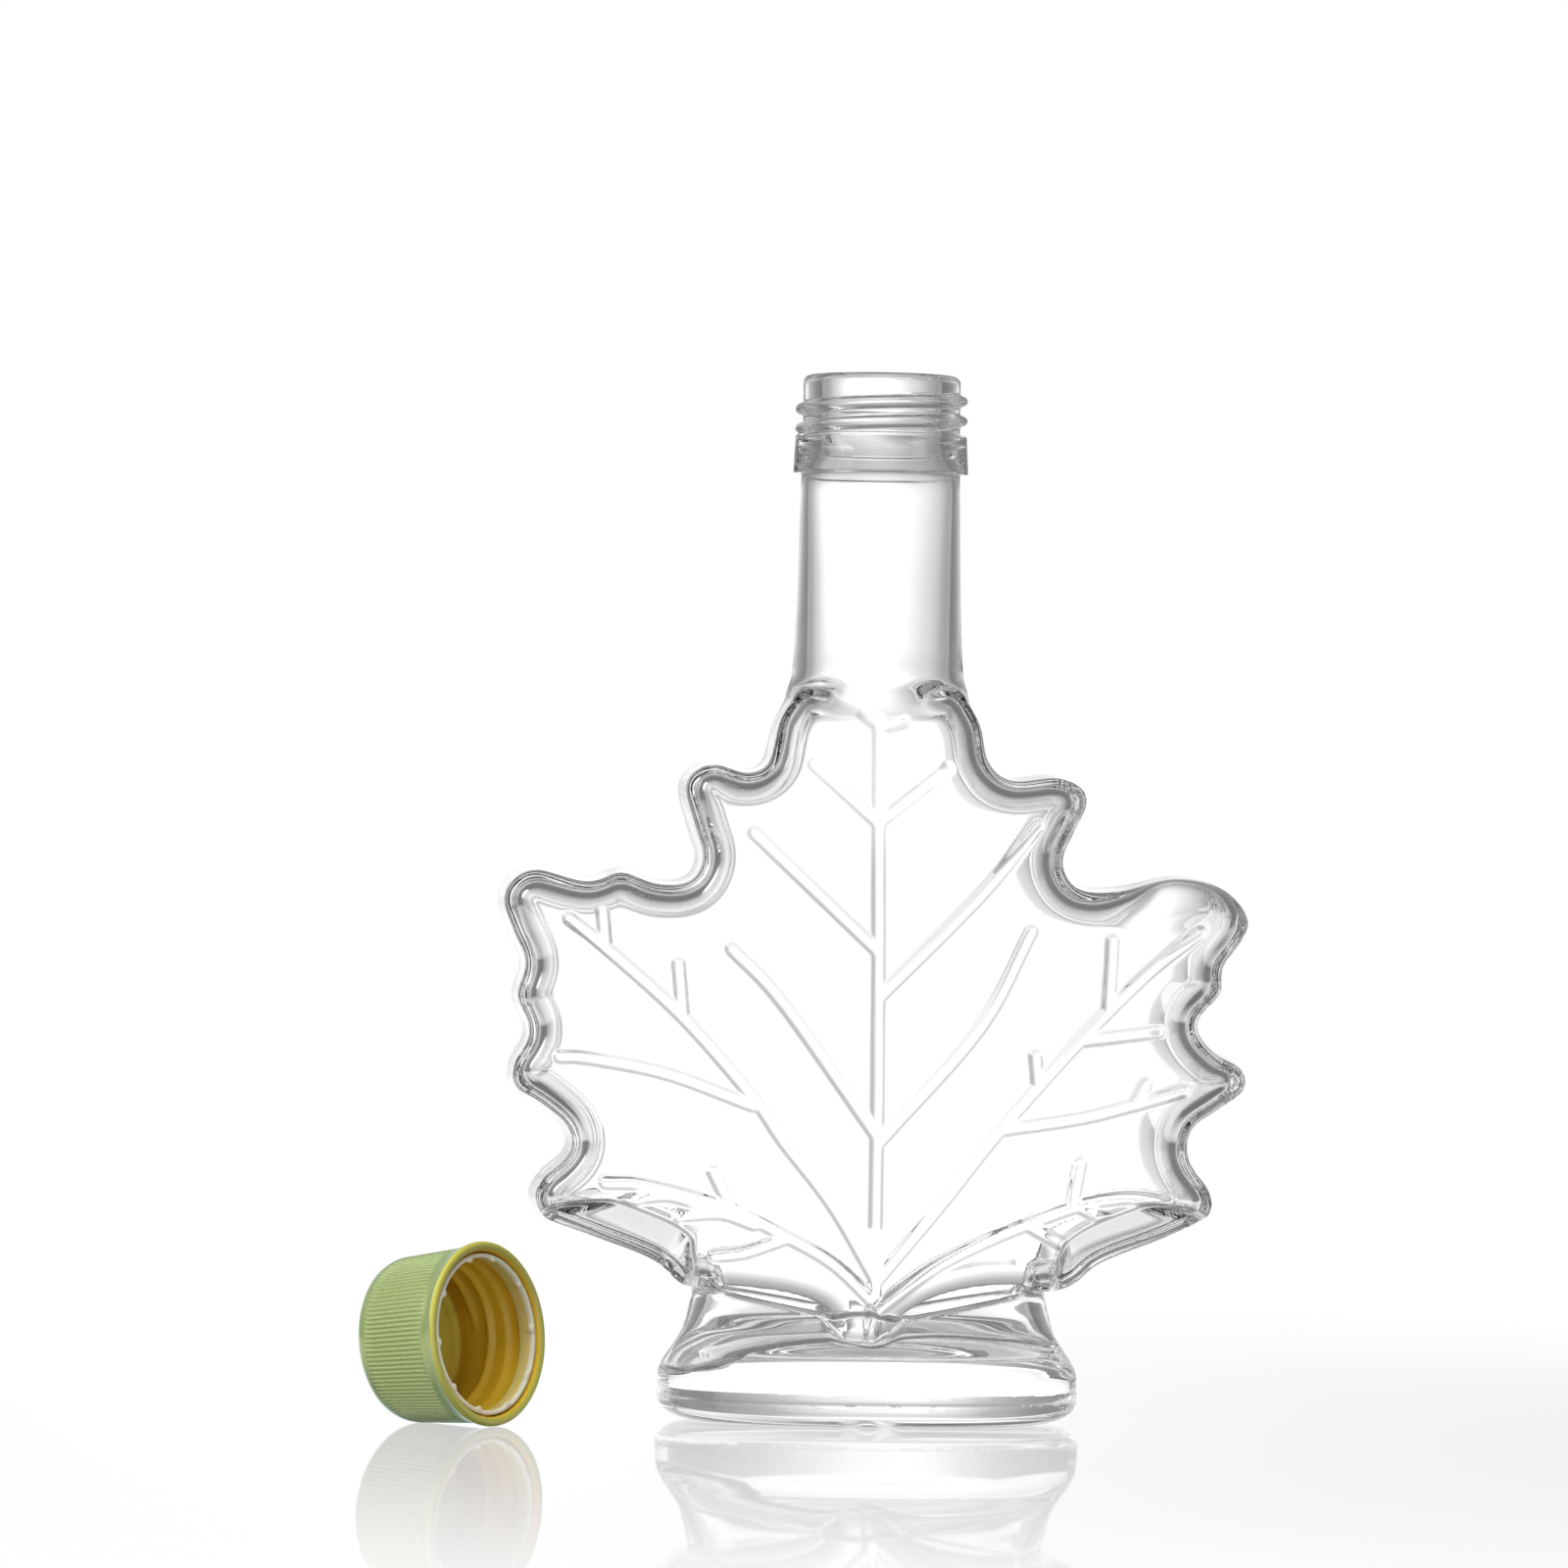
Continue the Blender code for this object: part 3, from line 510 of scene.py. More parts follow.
    def cavity(self, x: Array, y: Array, z: Array) -> Array:
        """Field of the hollow inside, from the foot's floor to the mouth."""
        inside = self.plan["distance"].read(x, z)
        out = np.abs(y)
        depth = self.half_depth(x, z) - self.panel_wall
        inside = inside + self.way_down * self.plan["open"].read(x, z)
        soft = self.plan["soft"].read(x, z)
        corner = self.cavity_radius + (self.soft_edge - 0.6) * soft
        side = self.side_wall - self.soft_edge_thinning * soft
        leaf = rounded_corner(side - inside + self.draft * out, out - depth, corner)
        leaf = smooth_max(leaf, self.flank(x, z, inside, out) + self.flank_wall, 0.8)
        ledge = np.clip(self.ledge_middle + self.ledge_rise * np.abs(x), *self.ledge_limits)
        leaf = smooth_max(leaf, ledge - z, 0.8)
        side = self.oval(x, y, self.hollow_width.read(z), self.hollow_depth.read(z))
        foot = rounded_corner(side, self.hollow_floor.read(x) - z, self.floor_radius)
        foot = np.maximum(foot, z - self.foot_hollow_top)
        bore = np.hypot(x, y) - self.bore_radius.read(z)
        bore = np.maximum(bore, self.bore_bottom - z)
        hollow = smooth_min(smooth_min(leaf, foot, 0.9), bore, 5.0)
        fade = ramp(150.0, 120.0, z)
        return hollow + self.waves(x, y, z) * fade

    def field(self, x: Array, y: Array, z: Array) -> Array:
        """Field of the glass."""
        outside = smooth_min(self.leaf(x, y, z), self.foot(x, y, z), 1.3)
        outside = smooth_min(outside, self.neck(x, y, z), 2.2)
        return smooth_max(outside, -self.cavity(x, y, z), 0.9)

    def slope(self, points: Array, reach: float) -> Array:
        """The field's gradient at each point, measured over a distance to both sides."""
        found = np.empty_like(points)
        for axis in range(3):
            step = np.zeros(3)
            step[axis] = reach
            ahead, behind = (points + step).T, (points - step).T
            found[:, axis] = (self.field(*ahead) - self.field(*behind)) / (2 * reach)
        return found

    def settle(self, points: Array, rounds: int) -> Array:
        """Move points onto the surface along the field's slope."""
        for _ in range(rounds):
            slope = self.slope(points, 0.1)
            steep = np.maximum((slope ** 2).sum(1), 0.05)
            move = self.field(*points.T) / steep
            points = points - slope * np.clip(move, -0.5, 0.5)[:, None]
        return points


@dataclass
class SurfaceNet:
    """A net of four-sided faces along a field's zero surface, open where the grid ends."""

    xs: Array
    ys: Array
    zs: Array

    def sample(self, field: Callable[[Array, Array, Array], Array], narrow_above: float,
               narrow: float) -> Array:
        """The field at the grid's points, left out beside the neck.

        Args:
            field: The field to read.
            narrow_above: The height above which only the neck is read.
            narrow: How far the neck's part reaches to each side.

        Returns:
            The values, with the axes x, y and z.
        """
        values = np.full((len(self.xs), len(self.ys), len(self.zs)), FAR, np.float32)
        for level, height in enumerate(self.zs):
            reach = narrow if height > narrow_above else np.inf
            chosen = np.flatnonzero(np.abs(self.xs) < reach)
            across, along = np.meshgrid(self.xs[chosen], self.ys, indexing="ij")
            read = field(across.ravel(), along.ravel(), np.full(across.size, height))
            values[chosen[0]:chosen[-1] + 1, :, level] = read.reshape(across.shape)
        return values

    def faces(self, values: Array) -> tuple[Array, Array]:
        """The net's corners and faces.

        Args:
            values: The field at the grid's points.

        Returns:
            The corner points, and the four corners of each face, turned outwards.
        """
        axes = (self.xs, self.ys, self.zs)
        cells = tuple(count - 1 for count in values.shape)
        strides = (cells[1] * cells[2], cells[2], 1)
        solid = values < 0
        rings, places, outwards = [], [], []
        for axis in range(3):
            one, two = (axis + 1) % 3, (axis + 2) % 3
            near = np.take(solid, range(0, values.shape[axis] - 1), axis)
            far = np.take(solid, range(1, values.shape[axis]), axis)
            at = np.stack(np.nonzero(near != far))
            beyond = at.copy()
            beyond[axis] += 1
            v0, v1 = values[tuple(at)], values[tuple(beyond)]
            share = v0 / (v0 - v1)
            place = np.stack([axes[k][at[k]] for k in range(3)], 1)
            step = axes[axis][beyond[axis]] - axes[axis][at[axis]]
            place[:, axis] += share * step
            ring = []
            within = (at[one] < cells[one]) & (at[two] < cells[two])
            for back_one, back_two in ((1, 1), (0, 1), (0, 0), (1, 0)):
                cell = at.copy()
                cell[one] -= back_one
                cell[two] -= back_two
                ring.append(sum(cell[k] * strides[k] for k in range(3))[within])
            rings.append(np.stack(ring, 1))
            places.append(place[within])
            outwards.append((v0 < 0)[within])
        ring, place, outward = np.vstack(rings), np.vstack(places), np.concatenate(outwards)
        used, corner = np.unique(ring.ravel(), return_inverse=True)
        corner = corner.reshape(ring.shape)
        share = np.bincount(corner.ravel(), minlength=len(used))
        points = np.stack([
            np.bincount(corner.ravel(), np.repeat(place[:, k], 4), len(used)) / share for k in range(3)], 1)
        corner[~outward] = corner[~outward, ::-1]
        return points, corner


def mesh_from_arrays(name: str, points: Array, faces: Array) -> bpy.types.Mesh:
    """A smooth-shaded mesh in metres from points in millimetres and equal-sided faces."""
    mesh = bpy.data.meshes.new(name)
    sides = faces.shape[1]
    mesh.vertices.add(len(points))
    mesh.vertices.foreach_set("co", (points * MM).astype(np.float32).ravel())
    mesh.loops.add(faces.size)
    mesh.loops.foreach_set("vertex_index", faces.astype(np.int32).ravel())
    mesh.polygons.add(len(faces))
    mesh.polygons.foreach_set("loop_start", np.arange(0, faces.size, sides, dtype=np.int32))
    mesh.update(calc_edges=True)
    mesh.shade_smooth()
    return mesh


def add_piece(name: str, mesh: bpy.types.Mesh, place: Matrix | None = None) -> bpy.types.Object:
    """A new object in the scene from a mesh, put in its place."""
    piece = bpy.data.objects.new(name, mesh)
    bpy.context.scene.collection.objects.link(piece)
    if place is not None:
        piece.matrix_world = place
    return piece


def hand_over(piece: bpy.types.Object, node: str) -> None:
    """Let a piece ride on the body and stand for its node, whose own part is hidden."""
    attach(piece, BODY)
    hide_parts(node)
    log.info("%s: %d faces", piece.name, len(piece.data.polygons))


class Socket(Enum):
    """Kinds of socket on the shared effects."""

    VALUE = "NodeSocketFloat"
    COLOUR = "NodeSocketColor"


@dataclass
class Effect:
    """A shared node group with named inputs and outputs."""

    name: str
    inputs: Sequence[tuple[str, Socket, float | tuple[float, float, float, float]]]
    outputs: Sequence[tuple[str, Socket]]

    def begin(self) -> tuple[bpy.types.NodeTree, bpy.types.Node, bpy.types.Node]:
        """Make the group's sockets.

        Returns:
            The group, its input node and its output node.
        """
        tree = bpy.data.node_groups.new(self.name, "ShaderNodeTree")
        for label, kind, value in self.inputs:
            socket = tree.interface.new_socket(name=label, in_out="INPUT", socket_type=kind.value)
            socket.default_value = value
        for label, kind in self.outputs:
            tree.interface.new_socket(name=label, in_out="OUTPUT", socket_type=kind.value)
        return tree, tree.nodes.new("NodeGroupInput"), tree.nodes.new("NodeGroupOutput")


class Graph:
    """A tree of shader nodes, with a short way to place one and join it to others."""

    def __init__(self, tree: bpy.types.NodeTree) -> None:
        """Take the tree."""
        self.tree = tree
        self.link = tree.links.new

    def node(self, kind: str, inputs: Mapping[int | str, object] = MappingProxyType({}),
             **settings: object) -> bpy.types.Node:
        """A new node.

        Args:
            kind: The node's type, without the words that all shader nodes begin with.
            inputs: A value, or the socket to join, for each input by its name or number.
            settings: The node's own settings.

        Returns:
            The node.
        """
        made = self.tree.nodes.new("ShaderNode" + kind)
        for name, value in settings.items():
            setattr(made, name, value)
        for name, value in inputs.items():
            if isinstance(value, bpy.types.NodeSocket):
                self.link(value, made.inputs[name])
            else:
                made.inputs[name].default_value = value
        return made


class Effects:
    """The effects that more than one finish uses, each built once."""

    def __init__(self) -> None:
        """Build the groups."""
        self.mottle = self._mottle()
        self.skin = self._skin()

    def _noise(self, graph: Graph, given: bpy.types.Node, detail: float, spread: str,
               middle: object) -> tuple[bpy.types.Node, bpy.types.Node]:
        """Noise on the object, and the same spread around a middle value.

        Args:
            graph: The group's nodes.
            given: The group's inputs, of which Scale sets the noise's fineness.
            detail: How many finer layers the noise has.
            spread: The name of the input that sets how far the values spread.
            middle: The middle value, or the socket that gives it.

        Returns:
            The noise's node and the spread's node.
        """
        where = graph.node("TexCoord")
        noise = graph.node("TexNoise", {"Vector": where.outputs["Object"],
                                        "Scale": given.outputs["Scale"], "Detail": detail})
        centre = graph.node("Math", {0: noise.outputs["Fac"], 1: 0.5}, operation="SUBTRACT")
        around = {0: centre.outputs[0], 1: given.outputs[spread], 2: middle}
        return noise, graph.node("Math", around, operation="MULTIPLY_ADD", use_clamp=True)

    def _mottle(self) -> bpy.types.NodeTree:
        """Two colours that drift into each other in soft clouds."""
        tree, given, result = Effect(
            "soft_mottle",
            (("Scale", Socket.VALUE, 120.0), ("Contrast", Socket.VALUE, 0.5),
             ("Light Colour", Socket.COLOUR, (0.8, 0.8, 0.8, 1.0)),
             ("Dark Colour", Socket.COLOUR, (0.2, 0.2, 0.2, 1.0))),
            (("Colour", Socket.COLOUR), ("Mask", Socket.VALUE))).begin()
        graph = Graph(tree)
        spread = self._noise(graph, given, 4.0, "Contrast", 0.5)[1].outputs[0]
        mix = graph.node("Mix", {"Factor": spread, "A": given.outputs["Dark Colour"],
                                 "B": given.outputs["Light Colour"]}, data_type="RGBA")
        graph.link(mix.outputs["Result"], result.inputs["Colour"])
        graph.link(spread, result.inputs["Mask"])
        return tree

    def _skin(self) -> bpy.types.NodeTree:
        """The fine unevenness of a moulded surface, as roughness and height."""
        tree, given, result = Effect(
            "moulded_skin",
            (("Scale", Socket.VALUE, 400.0), ("Roughness", Socket.VALUE, 0.3),
             ("Roughness Spread", Socket.VALUE, 0.1)),
            (("Roughness", Socket.VALUE), ("Height", Socket.VALUE))).begin()
        graph = Graph(tree)
        noise, spread = self._noise(graph, given, 3.0, "Roughness Spread", given.outputs["Roughness"])
        graph.link(spread.outputs[0], result.inputs["Roughness"])
        graph.link(noise.outputs["Fac"], result.inputs["Height"])
        return tree


@dataclass
class MaterialBuilder:
    """A material under construction, with its Principled shader."""

    name: str

    def __post_init__(self) -> None:
        """Make the material and find its shader."""
        self.material = bpy.data.materials.new(self.name)
        self.material.use_nodes = True
        self.nodes = self.material.node_tree.nodes
        self.link = self.material.node_tree.links.new
        self.shader = self.nodes["Principled BSDF"]

    def plain(self, **values: object) -> None:
        """Set the shader's own sockets, spaces in their names written as underscores."""
        for name, value in values.items():
            self.shader.inputs[name.replace("_", " ")].default_value = value

    def effect(self, tree: bpy.types.NodeTree, **values: object) -> bpy.types.Node:
        """Place a shared effect with its own values."""
        node = self.nodes.new("ShaderNodeGroup")
        node.node_tree = tree
        for name, value in values.items():
            node.inputs[name.replace("_", " ")].default_value = value
        return node

    def bump(self, height: bpy.types.NodeSocket, strength: float, distance: float) -> None:
        """Raise the surface by a height in millimetres."""
        node = self.nodes.new("ShaderNodeBump")
        node.inputs["Strength"].default_value = strength
        node.inputs["Distance"].default_value = distance * MM
        self.link(height, node.inputs["Height"])
        self.link(node.outputs["Normal"], self.shader.inputs["Normal"])


@dataclass(frozen=True)
class ClearGlass:
    """Colourless pressed glass with a fire-polished skin."""

    colour: tuple[float, float, float] = (1.0, 1.0, 1.0)
    index: float = 1.5
    roughness: float = 0.015

    def make(self, effects: Effects) -> bpy.types.Material:
        """The material."""
        made = MaterialBuilder("clear_glass_fine")
        made.plain(Base_Color=(*self.colour, 1.0), Transmission_Weight=1.0, IOR=self.index)
        skin = made.effect(effects.skin, Scale=90.0, Roughness=self.roughness, Roughness_Spread=0.01)
        made.link(skin.outputs["Roughness"], made.shader.inputs["Roughness"])
        made.bump(skin.outputs["Height"], 0.2, 0.02)
        return made.material


@dataclass(frozen=True)
class MouldedPlastic:
    """A plastic of two near colours with a fine moulded skin."""

    name: str
    light: tuple[float, float, float]
    dark: tuple[float, float, float]
    scale: float = 160.0
    contrast: float = 0.9
    roughness: float = 0.35
    metallic: float = 0.0
    coat: float = 0.0
    subsurface: float = 0.0
    pearl: float = 0.0
    pearl_tint: tuple[float, float, float] = (0.62, 1.0, 0.86)

    def make(self, effects: Effects) -> bpy.types.Material:
        """The material."""
        made = MaterialBuilder(self.name)
        made.plain(Sheen_Weight=self.pearl, Sheen_Tint=(*self.pearl_tint, 1.0), Sheen_Roughness=0.45)
        made.plain(Metallic=self.metallic, Coat_Weight=self.coat, Coat_Roughness=0.15,
                   Subsurface_Weight=self.subsurface, Subsurface_Scale=0.002, IOR=1.49)
        mottle = made.effect(effects.mottle, Scale=self.scale, Contrast=self.contrast,
                             Light_Colour=(*self.light, 1.0), Dark_Colour=(*self.dark, 1.0))
        made.link(mottle.outputs["Colour"], made.shader.inputs["Base Color"])
        skin = made.effect(effects.skin, Scale=900.0, Roughness=self.roughness, Roughness_Spread=0.15)
        made.link(skin.outputs["Roughness"], made.shader.inputs["Roughness"])
        made.bump(skin.outputs["Height"], 0.3, 0.03)
        return made.material


@dataclass
class NeckRings:
    """Even rings of points over the neck: up its outside, over the lip and down the bore."""

    form: GlassForm
    low: float
    sides: int

    def outer_rows(self, rise: float) -> list[tuple[float, float]]:
        """Radius and height of the outside's rows, from the lowest ring to the lip's top."""
        read = self.form.neck_radius.read
        low, high = self.form.collar_low, self.form.collar_high
        root = self.form.thread_root
        rows = [(float(read(z)), z) for z in np.arange(self.low, low - 0.7, 4 * rise)]
        rows += [(13.0, low - 0.45), (13.06, low - 0.2), (13.25, low - 0.05), (13.6, low), (13.9, low),
                 (14.12, low + 0.05), (14.25, low + 0.18), (14.3, low + 0.4), (14.28, low + 0.8)]
        rows += [(14.3 - 0.05 * (z - low), z) for z in np.arange(low + 1.4, high - 0.9, 2 * rise)]
        rows += [(14.02, high - 0.6), (14.0, high - 0.35), (13.92, high - 0.15), (13.78, high - 0.03),
                 (13.5, high), (13.2, high + 0.02), (13.0, high + 0.12), (12.9, high + 0.3)]
        rows += [(root, z) for z in np.arange(high + 0.45, self.form.height - 1.3, rise)]
        lip = self.form.lip_radius
        turn = np.linspace(0.0, math.pi / 2, 7)
        rows += [(root - lip * (1 - math.cos(a)), self.form.height - lip * (1 - math.sin(a))) for a in turn]
        return rows

    def bore_rows(self, rise: float) -> list[tuple[float, float]]:
        """Radius and height of the inside's rows, from the lip's top down to the lowest ring."""
        top = self.form.height
        rows = [(11.3, top), (10.9, top), (10.65, top - 0.08), (10.45, top - 0.25), (10.3, top - 0.5),
                (10.2, top - 0.8)]
        heights = np.concatenate([
            np.arange(top - 1.3, 160.0, -4 * rise), np.arange(159.8, 148.0, -1.6 * rise),
            np.arange(147.6, self.low + 0.1, -5 * rise), [self.low]])
        return rows + [(float(self.form.bore_radius.read(z)), z) for z in heights]

    def thread_rise(self, height: Array, angle: Array) -> Array:
        """How far the thread's ridge stands out at each point of the root cylinder."""
        form = self.form
        rise = np.zeros(height.shape)
        for turn in (-1, 0, 1):
            place = angle / (2 * math.pi) + turn
            from_end = np.minimum(place - form.thread_first_turn, form.thread_last_turn - place)
            runs = np.clip(from_end / form.thread_run_out, 0, 1)
            gap = (height - form.thread_height_at_right - form.thread_pitch * place) / form.thread_half_height
            ridge = (form.thread_crest - form.thread_root) * runs * np.sqrt(np.clip(1 - gap ** 2, 0, 1))
            rise = np.maximum(rise, ridge)
        return rise

    def build(self, rise: float) -> tuple[Array, Array]:
        """The rings.

        Args:
            rise: The height of a row across the thread.

        Returns:
            The points, ring after ring, and the triangles between them, turned outwards.
        """
        outer, bore = self.outer_rows(rise), self.bore_rows(rise)
        rows = np.array(outer + bore)
        angle = 2 * math.pi * (np.arange(self.sides) + 0.5) / self.sides - math.pi
        radius = np.repeat(rows[:, :1], self.sides, 1)
        height = np.repeat(rows[:, 1:], self.sides, 1)
        turned = np.broadcast_to(angle, radius.shape)
        on_thread = (np.arange(len(rows)) < len(outer))[:, None] & (radius > self.form.thread_root - 0.01)
        radius = radius + np.where(on_thread & (height > self.form.collar_high + 0.4),
                                   self.thread_rise(height, turned), 0.0)
        points = np.stack([radius * np.cos(turned), radius * np.sin(turned), height], 2).reshape(-1, 3)
        row = np.arange(len(rows) - 1)[:, None] * self.sides
        side = np.arange(self.sides)
        after = (side + 1) % self.sides
        a, b = row + side, row + after
        quads = np.stack([a, b, b + self.sides, a + self.sides], 2).reshape(-1, 4)
        return points, triangles_of(quads)


def triangles_of(quads: Array) -> Array:
    """Two triangles for each four-sided face."""
    return np.vstack([quads[:, [0, 1, 2]], quads[:, [0, 2, 3]]])


def open_loops(faces: Array) -> list[list[int]]:
    """The loops of corners along the open edges of a net, in the direction of its faces."""
    starts = faces.ravel()
    stops = np.roll(faces, -1, axis=1).ravel()
    size = int(faces.max()) + 1
    there = np.isin(starts.astype(np.int64) * size + stops, stops.astype(np.int64) * size + starts)
    following = dict(zip(starts[~there].tolist(), stops[~there].tolist()))
    loops = []
    while following:
        first, at = following.popitem()
        loop = [first]
        while at != first:
            loop.append(at)
            at = following.pop(at)
        loops.append(loop)
    return loops


def zipped(points: Array, lower: list[int], ring: Array, is_outside: bool) -> Array:
    """Triangles between a net's open loop and a ring of points around the same axis.

    Args:
        points: All the points.
        lower: The net's loop.
        ring: The ring's points, counter-clockwise by angle.
        is_outside: True where the faces look away from the axis.

    Returns:
        The triangles.
    """
    turn = np.arctan2(points[:, 1], points[:, 0])
    loop = np.array(lower)
    steps = np.diff(np.unwrap(turn[np.append(loop, loop[0])]))
    if steps.sum() < 0:
        loop = loop[::-1]
    loop = np.roll(loop, -int(np.argmin(turn[loop])))
    low = np.append(loop, loop[0])
    high = np.append(ring, ring[0])
    low_turn = np.maximum.accumulate(np.unwrap(turn[low]))
    high_turn = np.unwrap(turn[high])
    low_turn[-1] = low_turn[0] + 2 * math.pi
    high_turn[-1] = high_turn[0] + 2 * math.pi
    i, j, found = 0, 0, []
    while i < len(low) - 1 or j < len(high) - 1:
        if j == len(high) - 1 or (i < len(low) - 1 and low_turn[i + 1] <= high_turn[j + 1]):
            found.append((low[i], low[i + 1], high[j]))
            i += 1
        else:
            found.append((low[i], high[j + 1], high[j]))
            j += 1
    made = np.array(found)
    return made if is_outside else made[:, ::-1]


@dataclass
class Bottle:
    """The glass bottle, one closed body with its hollow."""

    fine_cell: float = 0.42
    coarse_cell: float = 1.1
    neck_rise: float = 0.16
    neck_sides: int = 264
    neck_start: float = 127.0
    half_width: float = 62.6
    middle_depth: float = 12.6
    half_depth: float = 25.6
    below: float = 1.0
    neck_only_above: float = 122.0
    neck_reach: float = 15.6
    wall_middle: float = 12.7
    quick_cell: float = 0.9
    quick_rise: float = 0.4
    quick_sides: int = 96

    def grid(self) -> SurfaceNet:
        """The grid: fine across the faces, coarse through the middle of the walls."""
        cell = self.fine_cell
        xs = np.arange(-self.half_width, self.half_width + 0.1, cell)
        inner = self.middle_depth
        edge = np.arange(inner, self.half_depth, cell)
        middle = np.linspace(-inner, inner, 2 * round(inner / self.coarse_cell) + 1)
        ys = np.concatenate([-edge[:0:-1], middle, edge[1:]])
        zs = np.arange(-self.below, self.neck_start, cell)
        return SurfaceNet(xs, ys, zs)

    def surface(self, form: GlassForm) -> tuple[Array, Array]:
        """The bottle's points and triangles: the net of the leaf and foot, sewn to the neck's rings."""
        net = self.grid()
        points, quads = net.faces(net.sample(form.field, self.neck_only_above, self.neck_reach))
        sides = self.neck_sides
        rings = NeckRings(form, float(net.zs[-1]) + 0.3, sides)
        more, above = rings.build(self.neck_rise)
        first = len(points)
        points = np.vstack([points, more])
        found = [triangles_of(quads), above + first]
        ring = first + np.arange(sides)
        for loop in open_loops(quads):
            is_outside = float(np.hypot(*points[loop, :2].T).mean()) > self.wall_middle
            around = ring if is_outside else ring + len(more) - sides
            found.append(zipped(points, loop, around, is_outside))
        return points, np.vstack(found)

    def build(self, form: GlassForm, finish: bpy.types.Material) -> bpy.types.Object:
        """Make the bottle and hand it over.

        Args:
            form: The field of the glass.
            finish: The glass.

        Returns:
            The bottle's object.
        """
        points, faces = self.surface(form)
        points = form.settle(points, 4)
        mesh = mesh_from_arrays("glass_bottle", points, faces)
        normals = form.slope(points, 0.12)
        normals /= np.maximum(np.linalg.norm(normals, axis=1), 1e-9)[:, None]
        mesh.normals_split_custom_set_from_vertices(normals)
        mesh.materials.append(finish)
        piece = add_piece("glass_bottle", mesh)
        hand_over(piece, "bottle")
        return piece


class CapZone(Enum):
    """Where on the cap's shell a face lies, as the number of its material."""

    OUTSIDE = 0
    INSIDE = 1
    RIM = 2


